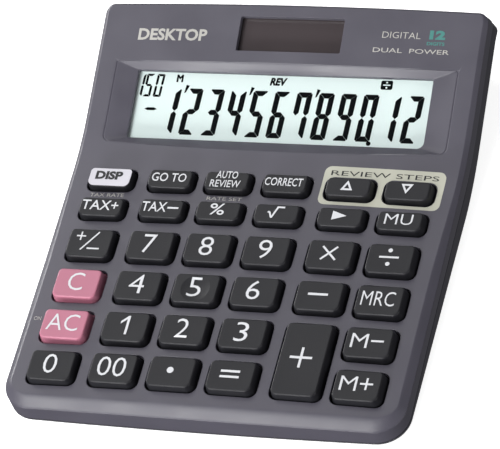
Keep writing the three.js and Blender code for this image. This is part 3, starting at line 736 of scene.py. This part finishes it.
def taper_ring(inset, lift):
    """A ring round the base: the outline drawn in by the taper of the sides and the rear."""
    ring = []
    for point, normal, front, rear in outline_points(0.0):
        p = point - normal * inset
        drop = rim_z(point.y) - FLOOR_Z
        side_inset = BASE_INSET + SIDE_TAPER * drop
        rear_inset = BASE_INSET + REAR_TAPER * drop * smooth((point.y - BEND_START) / REAR_TAPER_REACH)
        x = p.x * (1 - side_inset / HALF_W)
        y = p.y * (1 - rear_inset / HALF_D)
        ring.append((x, y, FLOOR_Z + lift))
    return ring


def rear_housing():
    shape = Shape()
    low_lean = lean_at(SKIRT)
    inner = WALL + GAP

    def part(y):
        return parting_z(y) - GAP

    rings = [case_ring(inner, part, low_lean)]
    for inset, drop in REAR_PARTING_EDGE:
        rings.append(case_ring(inset, lambda y: part(y) - drop, low_lean))
    for inset, rise, lean in RIM_EDGE:
        rings.append(case_ring(inset, lambda y: rim_z(y) + rise, lean))
    rings += [taper_ring(0.0, BASE_EDGE), taper_ring(BASE_EDGE, 0.0)]
    top, low = shape.loft(rings)
    floor_top = FLOOR_Z + FLOOR
    inner_rim = case_ring(
        inner, lambda y: max(rim_z(y) + INNER_RIM_RISE, floor_top + INNER_LEAST_WALL), 0.0
    )
    inner_top, inner_low = shape.loft([inner_rim, taper_ring(INNER_BASE_INSET, FLOOR)])
    shape.band(top, inner_top)
    holes = []
    inner_holes = []
    for x, y in FEET:
        hole, cap = shape.loft([circle(x, y, z, FOOT_WELL_R) for z in (FLOOR_Z, FOOT_WELL_ROOF)])
        shape.faces.append(tuple(cap))
        holes.append(hole)
    for x, y, shoulder, boss_top, boss_r in SCREWS:
        profile = (
            (FLOOR_Z, HEAD_WELL_R), (shoulder, HEAD_WELL_R), (shoulder, SHANK_HOLE_R),
            (boss_top, SHANK_HOLE_R), (boss_top, boss_r), (floor_top, boss_r),
        )
        hole, end = shape.loft([circle(x, y, z, radius) for z, radius in profile])
        holes.append(hole)
        inner_holes.append(end)
    for wall, bottom, loops in ((0, FLOOR_Z, holes), (BATTERY_WALL, floor_top, inner_holes)):
        width, depth = (size + 2 * wall for size in BATTERY_SIZE)
        roof = BATTERY_ROOF + wall
        mouth, cap = shape.loft([rectangle(*BATTERY_AT, z, width, depth) for z in (bottom, roof)])
        shape.faces.append(tuple(cap))
        loops.append(mouth)
    shape.plate(low, holes, lambda x, y: FLOOR_Z)
    shape.plate(inner_low, inner_holes, lambda x, y: floor_top)
    piece = make_piece("rear_shell", shape, REAR_CASE, "case")
    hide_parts("rear_housing")


rear_housing()

# ---- keys ----
PINK_KEYS = ("key_clear", "key_all_clear")
TOP_FILLET = 0.45
TOP_FILLET_ANGLES = (0, 22, 45, 68, 90)
KEY_DISH = 0.10
FACE_RADII = [1.9, 1.2, 1.2, 1.9]
BASE_RADII = [3.0, 2.6, 2.6, 3.0]
LEAST_CORNER_R = 0.2
LOOP_STEPS = (6, 6)  # points of a key's corners and sides
FLANGE_THICK = 0.8
FLANGE_EDGE = 0.1
KEY_SHARP = 50  # degrees
FACE_SCALES = (0.93, 0.8, 0.6, 0.4, 0.2)
FINGER_DISH_R = 4.6  # the round dish on the middle digit key
FINGER_DISH = 0.55
FINGER_SCALES = (1.03, 1.0, 0.97, 0.85, 0.65, 0.4, 0.2)


def key_point(key, x, v, n):
    return KEYBOARD @ Vector((key["x"] + x, key["v"] + v, n))


def top_share(key):
    """How far up the key's sides the top fillet starts, as a share of their height."""
    return 1 - TOP_FILLET / (key["top"] - key["low"] - FLANGE_THICK)


def key_loop(key, share, out):
    """A key's outline: share 0 at the flange, 1 at the top face's edge; out grows it."""
    width = key["width"] + (key["top_width"] - key["width"]) * share + 2 * out
    depth = key["depth"] + (key["top_depth"] - key["depth"]) * share + 2 * out
    pairs = zip(BASE_RADII, FACE_RADII)
    radii = [max(base + (face - base) * share + out, LEAST_CORNER_R) for base, face in pairs]
    return rounded(width, depth, radii, *LOOP_STEPS)


def face_sink(name, key, x, v):
    """Depth of the hollow in a key's top face, x and v from the face's centre."""
    if name == "key_5":
        return FINGER_DISH * max(0.0, 1 - (x * x + v * v) / FINGER_DISH_R**2)
    if name == "key_display":
        return 0.0
    u = min(abs(x) / (key["top_width"] / 2), 1.0)
    w = min(abs(v) / (key["top_depth"] / 2), 1.0)
    return KEY_DISH * (1 - u * u) * (1 - w * w)


def key_cap(name, key):
    shape = Shape()
    top = key["top"]
    low = key["low"]
    shift = key["shift"]
    flange_top = low + FLANGE_THICK
    span = top - flange_top
    start = top_share(key)

    def loop(share, out, height):
        return [key_point(key, p.x, p.y + shift * share, height) for p in key_loop(key, share, out)]

    def face_point(x, v):
        return key_point(key, x, v + shift * start, top - face_sink(name, key, x, v))

    rings = [
        loop(0, KEY_FLANGE - FLANGE_EDGE, low),
        loop(0, KEY_FLANGE, low + FLANGE_EDGE),
        loop(0, KEY_FLANGE, flange_top),
        loop(0, 0, flange_top),
    ]
    rings += [loop(share, 0, flange_top + span * share) for share in WALL_SHARES]
    for inset, drop in quarter_round(TOP_FILLET, TOP_FILLET_ANGLES):
        rings.append(loop(start, -inset, top - drop))
    face = key_loop(key, start, -TOP_FILLET)
    if name == "key_5":
        inner = [[p.normalized() * FINGER_DISH_R * scale for p in face] for scale in FINGER_SCALES]
    else:
        inner = [[p * scale for p in face] for scale in FACE_SCALES]
    rings += [[face_point(p.x, p.y) for p in ring] for ring in inner]
    shape.solid(rings, key_point(key, 0, 0, low), face_point(0, 0))
    pink = name in PINK_KEYS
    material = KEY_PINK if pink else KEY_DARK
    piece = make_piece(name.replace("key_", "cap_"), shape, material, name, sharp=KEY_SHARP)
    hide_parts(name)


for key_name, key_data in KEYS.items():
    key_cap(key_name, key_data)

# ---- dome mat: a flat sheet, and one rubber dome under each key ----
MAT_TOP = -5.6
MAT_THICK = 0.6
MAT_SIZE = (114.0, 80.0)
MAT_V = -34.5
MAT_EDGE = 0.1
MAT_CORNER_R = 2.0
DOME_PROFILE = ((1.7, -0.03), (1.65, 0.45), (1.4, 0.8), (1.05, 0.96), (0.8, 1.0))  # radius, height share
DOME_SIDES = 16


def mat_sheet():
    shape = Shape()
    width, depth = MAT_SIZE
    low = MAT_TOP - MAT_THICK
    rings = []
    for inset, n in ((MAT_EDGE, low), (0, low + MAT_EDGE), (0, MAT_TOP - MAT_EDGE), (MAT_EDGE, MAT_TOP)):
        loop = rounded(width - 2 * inset, depth - 2 * inset, MAT_CORNER_R)
        rings.append([KEYBOARD @ Vector((p.x, p.y + MAT_V, n)) for p in loop])
    shape.solid(rings, *(KEYBOARD @ Vector((0, MAT_V, n)) for n in (low, MAT_TOP)))
    piece = make_piece("mat_sheet", shape, SILICONE, "case")
    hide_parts("dome_mat")


def dome(name, key):
    shape = Shape()
    height = key["low"] - GAP - MAT_TOP
    levels = [(radius, height * share) for radius, share in DOME_PROFILE]
    rings = []
    for radius, rise in levels:
        loop = circle(key["x"], key["v"], MAT_TOP + rise, radius, DOME_SIDES)
        rings.append([KEYBOARD @ Vector(p) for p in loop])
    shape.solid(rings, *(key_point(key, 0, 0, MAT_TOP + levels[end][1]) for end in (0, -1)))
    piece = make_piece(name.replace("key_", "dome_"), shape, SILICONE, "case")
    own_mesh(piece)


mat_sheet()
for key_name, key_data in KEYS.items():
    dome(key_name, key_data)

# ---- flat marks: each is (points, faces) in a plane ----
DOT_SIDES = 20
MARK_SHARP = 4  # degrees


def polygon(points):
    return [Vector(p) for p in points], [tuple(range(len(points)))]


def turned(points, degrees, x, y):
    """Points turned round the origin and moved to (x, y)."""
    c, s = math.cos(math.radians(degrees)), math.sin(math.radians(degrees))
    return [(x + px * c - py * s, y + px * s + py * c) for px, py in points]


def bar(width, height, x=0.0, y=0.0, turn=0.0):
    w, h = width / 2, height / 2
    return polygon(turned([(-w, -h), (w, -h), (w, h), (-w, h)], turn, x, y))


def dot(radius, x=0.0, y=0.0):
    return polygon([p[:2] for p in circle(x, y, 0, radius, DOT_SIDES)])


def cross(size, stroke, x=0.0, y=0.0, turn=0.0):
    a, b = size / 2, stroke / 2
    quarter = [(b, a), (b, b), (a, b)]
    return polygon([p for k in range(4) for p in turned(quarter, turn - 90 * k, x, y)])


def hoop(outer, inner):
    """The flat band between two outlines with as many points each."""
    n = len(outer)
    faces = [(i, (i + 1) % n, n + (i + 1) % n, n + i) for i in range(n)]
    return [Vector(p) for p in (*outer, *inner)], faces


def triangle_hoop(width, height, stroke, up):
    """The outline of a triangle that points up or down."""
    a, b = width / 2, height / 2
    outer = [Vector((-a, -b)), Vector((a, -b)), Vector((0, b))]
    radius = a * height / (a + math.hypot(a, height))
    middle = Vector((0, radius - b))
    inner = [middle + (p - middle) * (1 - stroke / radius) for p in outer]
    sign = 1 if up else -1
    return hoop(*([(p.x, p.y * sign) for p in loop] for loop in (outer, inner)))


def flat_plate(outer, holes):
    """The flat area between an outline and its holes."""
    shape = Shape()
    ids = [shape.ring([(p[0], p[1], 0) for p in loop]) for loop in (outer, *holes)]
    shape.plate(ids[0], ids[1:], lambda x, y: 0)
    return [p.to_2d() for p in shape.points], shape.faces


def words(text, width, height, x=0.0, y=0.0, weight=-0.008):
    """Text as flat faces, fitted to a width and height around (x, y)."""
    curve = bpy.data.curves.new("words", "FONT")
    curve.body = text
    curve.resolution_u = 3
    curve.offset = weight
    holder = add_object("words", curve)
    graph = bpy.context.evaluated_depsgraph_get()
    mesh = bpy.data.meshes.new_from_object(holder.evaluated_get(graph))
    bpy.data.objects.remove(holder)
    bpy.data.curves.remove(curve)
    build = bmesh.new()
    build.from_mesh(mesh)
    bpy.data.meshes.remove(mesh)
    bmesh.ops.remove_doubles(build, verts=build.verts, dist=MERGE)
    build.verts.index_update()
    flat = [v.co.to_2d() for v in build.verts]
    faces = [tuple(v.index for v in face.verts) for face in build.faces]
    build.free()
    middle_x, wide = extent([p.x for p in flat])
    middle_y, tall = extent([p.y for p in flat])
    points = [
        Vector((x + (p.x - middle_x) * (width / wide), y + (p.y - middle_y) * (height / tall)))
        for p in flat
    ]
    return points, faces


def shifted(marks, by):
    return [([p + by for p in points], faces) for points, faces in marks]


def raised(name, marks, place, material, body):
    """A thin solid from flat marks. place(x, y, level) puts level 0 in the surface and 1 over it."""
    shape = Shape()
    for points, faces in marks:
        top = shape.ring([place(p.x, p.y, 1) for p in points])
        low = shape.ring([place(p.x, p.y, 0) for p in points])
        directed = set()
        for face in faces:
            shape.faces.append(tuple(top[i] for i in face))
            shape.faces.append(tuple(low[i] for i in reversed(face)))
            directed |= set(zip(face, face[1:] + face[:1]))
        for a, b in sorted(directed):
            if (b, a) not in directed:
                shape.faces.append((top[b], top[a], low[a], low[b]))
    return make_piece(name, shape, material, body, sharp=MARK_SHARP, weighted=False)


# ---- legends on the keys, round each key's centre ----
STROKE = 0.6
LEGEND_AT = Vector((-0.35, 0.1))
NUMERAL_HEIGHT = 6.6
SMALL_WEIGHT = 0.004


def numeral(text, width=4.3):
    return [words(text, width, NUMERAL_HEIGHT)]


def small(text, width, height, x=0.0, y=0.0):
    return words(text, width, height, x, y, SMALL_WEIGHT)


def digit_one(width, height, stroke):
    """A plain figure one with a short flag."""
    x, y = width / 2, height / 2
    return polygon([
        (x - stroke, -y), (x, -y), (x, y), (x - 0.8 * stroke, y), (-x, y - 0.3 * height),
        (-x, y - 0.3 * height - 1.1 * stroke), (x - stroke, y - 1.5 * stroke),
    ])


LEGENDS = {
    "display": [words("DISP", 8.9, 3.1, weight=0.045)],
    "go_to": [small("GO TO", 11.3, 3.1)],
    "auto_review": [small("AUTO", 6.9, 2.6, 0.1, 1.7), small("REVIEW", 9.7, 2.6, 0.1, -1.6)],
    "correct": [small("CORRECT", 12.1, 2.9)],
    "step_up": [triangle_hoop(3.8, 3.5, STROKE, True)],
    "step_down": [triangle_hoop(3.8, 3.5, STROKE, False)],
    "tax_plus": [small("TAX+", 12.1, 3.5)],
    "tax_minus": [small("TAX", 8.1, 3.5, -2.0, 0), bar(3.6, STROKE, 4.2, -0.2)],
    "percent": [small("%", 4.8, 4.1)],
    "square_root": [
        polygon([(-2.6, -0.2), (-2.2, 0.3), (-1.6, 0.0), (-1.0, -1.5), (0.3, 2.0), (2.7, 2.0),
                 (2.7, 1.45), (0.75, 1.45), (-0.7, -2.2), (-1.25, -2.2), (-2.0, -0.5)])
    ],
    "backspace": [polygon([(-2.2, -1.6), (2.3, 0), (-2.2, 1.6)])],
    "mark_up": [words("MU", 8.7, 3.7)],
    "sign_change": [
        cross(3.0, 0.45, -2.9, 1.9), bar(8.2, 0.45, 0.35, 0.2, 54), bar(4.0, 0.5, 2.0, -2.5)
    ],
    "7": numeral("7", 4.2),
    "8": numeral("8"),
    "9": numeral("9"),
    "multiply": [cross(6.6, 0.62, turn=45)],
    "divide": [bar(6.1, 0.6), dot(0.68, 0, 2.4), dot(0.68, 0, -2.4)],
    "clear": [words("C", 5.0, 6.3)],
    "4": numeral("4", 4.9),
    "5": numeral("5", 4.2),
    "6": numeral("6"),
    "minus": [bar(6.2, 0.75)],
    "memory_recall": [words("MRC", 10.3, 5.0)],
    "all_clear": [words("AC", 10.2, 5.8)],
    "1": [digit_one(2.7, 6.5, 0.75)],
    "2": numeral("2", 4.1),
    "3": numeral("3", 4.1),
    "memory_minus": [words("M", 5.1, 4.8, -2.4, 0), bar(3.9, 0.6, 3.1, 0.1)],
    "0": numeral("0"),
    "00": numeral("00", 9.0),
    "point": [dot(1.05)],
    "equals": [bar(6.0, 0.72, 0, 0.95), bar(6.0, 0.72, 0, -0.95)],
    "memory_plus": [words("M", 5.1, 4.8, -2.4, 0), cross(4.0, 0.6, 3.1, 0.1)],
    "plus": [cross(6.9, 0.78)],
}
INK_RISE = 0.06  # the prints stand this much over the key, and reach INK_DEPTH into it
INK_DEPTH = 0.12
FACE_PRINT_INSET = 0.2


def key_place(name, key, rise):
    shift = key["shift"] * top_share(key)

    def place(x, v, level):
        n = key["top"] - face_sink(name, key, x, v - shift)
        return key_point(key, x, v, n + rise if level else n - INK_DEPTH)

    return place


for legend, marks in LEGENDS.items():
    key_name = "key_" + legend
    key_data = KEYS[key_name]
    rise = INK_RISE
    ink = INK_WHITE
    if legend == "display":
        rise *= 2
        ink = INK_DARK
        share = top_share(key_data)
        offset = key_data["shift"] * share
        loop = key_loop(key_data, share, -FACE_PRINT_INSET)
        face_print = flat_plate([(p.x, p.y + offset) for p in loop], [])
        place = key_place(key_name, key_data, INK_RISE)
        raised("face_display", [face_print], place, KEY_PALE, key_name)
    place = key_place(key_name, key_data, rise)
    raised("legend_" + legend, shifted(marks, LEGEND_AT), place, ink, key_name)

# ---- prints on the panel ----
PRINT_RISE = 0.04
PRINT_DEPTH = 0.1
PLATE_MARGIN_SIDE = (1.5, 2.2)
PLATE_V = (-5.6, 8.3)
PLATE_CORNER_R = 2.2


def panel_place(local, rise=PRINT_RISE):
    return lambda x, v, level: on_panel(local, x, v, -rise if level else PRINT_DEPTH)


def step_plate():
    """The pale printed field round the two step keys."""
    keys = [KEYS["key_step_up"], KEYS["key_step_down"]]
    left = keys[0]["x"] - keys[0]["width"] / 2 - PLATE_MARGIN_SIDE[0]
    right = keys[1]["x"] + keys[1]["width"] / 2 + PLATE_MARGIN_SIDE[1]
    low, high = PLATE_V
    outer = rounded(right - left, high - low, PLATE_CORNER_R, 6, 12)
    outer = [(p.x + (left + right) / 2, p.y + (low + high) / 2) for p in outer]
    holes = []
    for key in keys:
        grow = 2 * (KEY_GAP + OPENING_FILLET)
        loop = rounded(key["width"] + grow, key["depth"] + grow, OPENING_CORNER_R + OPENING_FILLET)
        holes.append([(p.x + key["x"], p.y + key["v"]) for p in loop])
    return flat_plate(outer, holes)


raised("print_step_plate", [step_plate()], panel_place(KEYBOARD), INK_BEIGE, "case")
PANEL_WORDS = [
    ("print_step_words", KEYBOARD, [words("REVIEW STEPS", 34.0, 1.7, 39.3, 5.95, 0)], INK_DARK),
    ("print_rate_words", KEYBOARD, [
        words("TAX RATE", 11.4, 1.25, -48.6, -5.5),
        words("RATE SET", 11.4, 1.25, -9.6, -5.5),
        words("ON", 2.4, 1.3, -58.7, -51.5),
    ], INK_GREY),
    ("print_name", DISPLAY, [words("DESKTOP", 23.3, 4.0, -38.4, 37.9, 0.03)], INK_GREY),
    ("print_kind", DISPLAY, [words("DIGITAL", 12.2, 2.1, 36.8, 39.8)], INK_GREY),
    ("print_power", DISPLAY, [words("DUAL  POWER", 24.2, 1.5, 40.5, 34.7, 0)], INK_GREY),
    ("print_digits", DISPLAY, [
        words("12", 5.0, 3.0, 48.2, 40.3, 0.06), words("DIGITS", 5.6, 1.1, 48.0, 37.4, 0.03),
    ], INK_TEAL),
]
for piece_name, local, marks, ink in PANEL_WORDS:
    rise = 2 * PRINT_RISE if ink is INK_DARK else PRINT_RISE
    raised(piece_name, marks, panel_place(local, rise), ink, "case")

# ---- liquid crystal display: seven-segment digits just over the glass ----
GLASS_N = -4.3
LCD_RISE = 0.06
LCD_DEPTH = 0.02
LCD_SLANT = 0.07
SHARP_CORNER = math.radians(80)
SEGMENT_CUT = 0.28
SEGMENTS = {
    "0": "abcdef", "1": "bc", "2": "abged", "3": "abgcd", "4": "fgbc", "5": "afgcd",
    "6": "afgedc", "7": "fabc", "8": "abcdefg", "9": "abcdfg",
}
DIGIT_TEXT = "123456789012"
DIGIT_RIGHT = -33.5
DIGIT_PITCH = 7.235
DIGIT_TOP = 21.4
DIGIT_FORM = (4.95, 15.5, 1.75, 0.04)  # width, height, stroke, gap between segments
STEP_COUNT = (("1", -46.3), ("5", -43.4), ("0", -39.9))  # small digits, and their right edges
STEP_TOP = 25.9
STEP_FORM = (2.6, 7.7, 0.75, 0.06)
TICK_AFTER = (0, 3, 6)
TICK_SHIFT = 2.0
TICK = ((-1.1, 19.8), (-0.6, 20.0), (0.35, 22.3), (-0.75, 22.6))
MINUS = ((-45.0, 14.1), (-44.0, 14.6), (-41.8, 14.6), (-40.8, 14.1), (-41.8, 13.65), (-44.0, 13.65))
MEMORY_M = (
    (-35.9, 23.4), (-35.3, 23.4), (-35.3, 25.0), (-34.8, 24.2), (-34.3, 25.0), (-34.3, 23.4),
    (-33.7, 23.4), (-33.7, 25.9), (-34.3, 25.9), (-34.8, 25.1), (-35.3, 25.9), (-35.9, 25.9),
)
REVIEW_AT = (-1.95, 24.6)
REVIEW_SLANT = 0.15
SIGN_AT = Vector((33.3, 24.7))
SIGN_RISE = 0.05


def lcd_place(x, v, level):
    return DISPLAY @ Vector((x, v, GLASS_N + (LCD_RISE if level else -LCD_DEPTH)))


def blunt(points, cut):
    """The outline with its sharp corners cut off."""
    found = []
    count = len(points)
    for i, point in enumerate(points):
        here = Vector(point)
        back = (Vector(points[i - 1]) - here).normalized()
        on = (Vector(points[(i + 1) % count]) - here).normalized()
        if back.angle(on) < SHARP_CORNER:
            found += [tuple(here + back * cut), tuple(here + on * cut)]
        else:
            found.append(point)
    return found


def digit_marks(text, right, top, width, height, thick, gap):
    """Segments of one digit whose upper right corner is at (right, top)."""
    w, h, t, g = width, height, thick, gap
    m = h / 2
    shapes = {
        "a": [(g, h), (w - g, h), (w - t - g, h - t), (t + g, h - t)],
        "b": [(w, h - g), (w, m + t / 2 + g), (w - t / 2, m + g), (w - t, m + t / 2 + g),
              (w - t, h - t - g)],
        "g": [(t / 2 + g, m), (t + g, m + t / 2), (w - t - g, m + t / 2), (w - t / 2 - g, m),
              (w - t - g, m - t / 2), (t + g, m - t / 2)],
    }
    shapes["f"] = [(w - x, y) for x, y in shapes["b"]]
    shapes["c"] = [(x, h - y) for x, y in shapes["b"]]
    shapes["e"] = [(x, h - y) for x, y in shapes["f"]]
    shapes["d"] = [(x, h - y) for x, y in shapes["a"]]
    marks = []
    for segment in SEGMENTS[text]:
        outline = blunt(shapes[segment], SEGMENT_CUT * thick)
        points = [(right - w + x + LCD_SLANT * (y - h), top - h + y) for x, y in outline]
        marks.append(polygon(points))
    return marks


lcd = []
for i, text in enumerate(DIGIT_TEXT):
    lcd += digit_marks(text, DIGIT_RIGHT + DIGIT_PITCH * i, DIGIT_TOP, *DIGIT_FORM)
for i in TICK_AFTER:
    shift = DIGIT_RIGHT + DIGIT_PITCH * i + TICK_SHIFT
    lcd.append(polygon([(shift + x, y) for x, y in TICK]))
lcd.append(dot(0.75, 30.3, 5.4))
lcd.append(polygon(MINUS))
for text, right in STEP_COUNT:
    lcd += digit_marks(text, right, STEP_TOP, *STEP_FORM)
lcd.append(polygon(MEMORY_M))
review_points, review_faces = words("REV", 5.2, 2.6, *REVIEW_AT, 0.05)
slanted = [Vector((p.x + REVIEW_SLANT * (p.y - REVIEW_AT[1]), p.y)) for p in review_points]
lcd.append((slanted, review_faces))
raised("lcd_digits", lcd, lcd_place, LCD_INK, "case")


def sign_place(x, v, level):
    return lcd_place(x, v, level) + Vector((0, 0, SIGN_RISE))


sign_field = flat_plate([p + SIGN_AT for p in rounded(3.8, 3.0, 0.6, 4, 1)], [])
sign_lines = shifted([bar(2.3, 0.35), dot(0.3, 0, 0.85), dot(0.3, 0, -0.85)], SIGN_AT)
raised("lcd_sign_field", [sign_field], lcd_place, LCD_INK, "case")
raised("lcd_sign", sign_lines, sign_place, LCD_MINT, "case")

# ---- carried-over CAD nodes ----
NODE_MATERIALS = {
    "circuit_board": BOARD,
    "processor_blob": EPOXY,
    "display_window": CLEAR_WINDOW,
    "lcd_glass": LCD_MINT,
    "display_holder": HOLDER,
    "solar_window": TINTED_WINDOW,
    "solar_cell": SOLAR_CELL,
    "lcd_ribbon": CABLE,
    "solar_lead": LEAD,
    "battery_cover": REAR_CASE,
    "battery_cover_screw": STEEL,
    "battery_cell": CELL_CAN,
    "battery_contact_negative": SPRING_METAL,
    "battery_contact_positive": SPRING_METAL,
}
for corner_name in ("front_left", "front_right", "rear_left", "rear_right"):
    NODE_MATERIALS["foot_" + corner_name] = RUBBER
    NODE_MATERIALS["screw_" + corner_name] = STEEL
for node_name, node_material in NODE_MATERIALS.items():
    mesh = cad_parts[node_name].data
    mesh.materials.clear()
    mesh.materials.append(node_material)

# ---- floor, lights and camera ----
FLOOR_HALF = 4.0
floor_corners = [(x * FLOOR_HALF, y * FLOOR_HALF, 0) for x, y in ((-1, -1), (1, -1), (1, 1), (-1, 1))]
floor_mesh = bpy.data.meshes.new("floor")
floor_mesh.from_pydata(floor_corners, [], [(0, 1, 2, 3)])
floor = add_object("floor", floor_mesh)
floor_material = bpy.data.materials.new("floor_white")
floor_material.use_nodes = True
put_values(shader_of(floor_material), {
    "Base Color": (0.9, 0.9, 0.9, 1),
    "Roughness": 0.9,
    "Emission Color": (1, 1, 1, 1),
    "Emission Strength": 0.8,
})
floor_mesh.materials.append(floor_material)
floor.visible_diffuse = False
floor.visible_glossy = False


def direction(azimuth, elevation):
    """The way from the object, in radians. Azimuth 0 is in front of it and -90 degrees to its left."""
    flat = math.cos(elevation)
    return Vector((math.sin(azimuth) * flat, -math.cos(azimuth) * flat, math.sin(elevation)))


def softbox(name, azimuth, elevation, distance, width, height, power):
    """A soft light aimed at the object: degrees, metres and watts."""
    data = bpy.data.lights.new(name, "AREA")
    data.shape = "RECTANGLE"
    data.size = width
    data.size_y = height
    data.energy = power
    light = add_object(name, data)
    spot = direction(math.radians(azimuth), math.radians(elevation))
    light.location = spot * distance
    light.rotation_euler = spot.to_track_quat("Z", "Y").to_euler()


softbox("front_left_high", -41, 56, 1.2, 0.8, 0.4, 11.0)
softbox("front_left", -30, 38, 1.2, 0.5, 0.4, 1.9)
softbox("front_low", -18, 7, 1.2, 1.0, 0.25, 14.5)
softbox("back_left", -145, 53, 1.5, 1.0, 0.8, 5.0)
softbox("left_low", -123, 13, 1.2, 0.5, 0.36, 8.0)
softbox("right_fill", 75, 12, 1.2, 0.8, 0.5, 5.0)

world = bpy.data.worlds.new("studio")
world.use_nodes = True
put_values(world.node_tree.nodes["Background"], {"Color": (1, 1, 1, 1), "Strength": 0.13})
bpy.context.scene.world = world
bpy.context.scene.view_settings.view_transform = "Standard"

AZIMUTH, ELEVATION, ROLL = (math.radians(d) for d in (32.07, 49.01, -22.46))
DISTANCE = 1.01108
TARGET = Vector((0.00071, -0.00467, 0.012))
LENS = 240.83
SENSOR = 36
away = direction(AZIMUTH, ELEVATION)
level = Vector((math.cos(AZIMUTH), math.sin(AZIMUTH), 0))
upright = away.cross(level)
right = level * math.cos(ROLL) + upright * math.sin(ROLL)
up = away.cross(right)
camera_data = bpy.data.cameras.new("camera")
camera_data.lens = LENS
camera_data.sensor_width = SENSOR
camera = add_object("camera", camera_data)
turn = Matrix((right, up, away)).transposed().to_4x4()
camera.matrix_world = Matrix.Translation(TARGET + away * DISTANCE) @ turn
bpy.context.scene.camera = camera
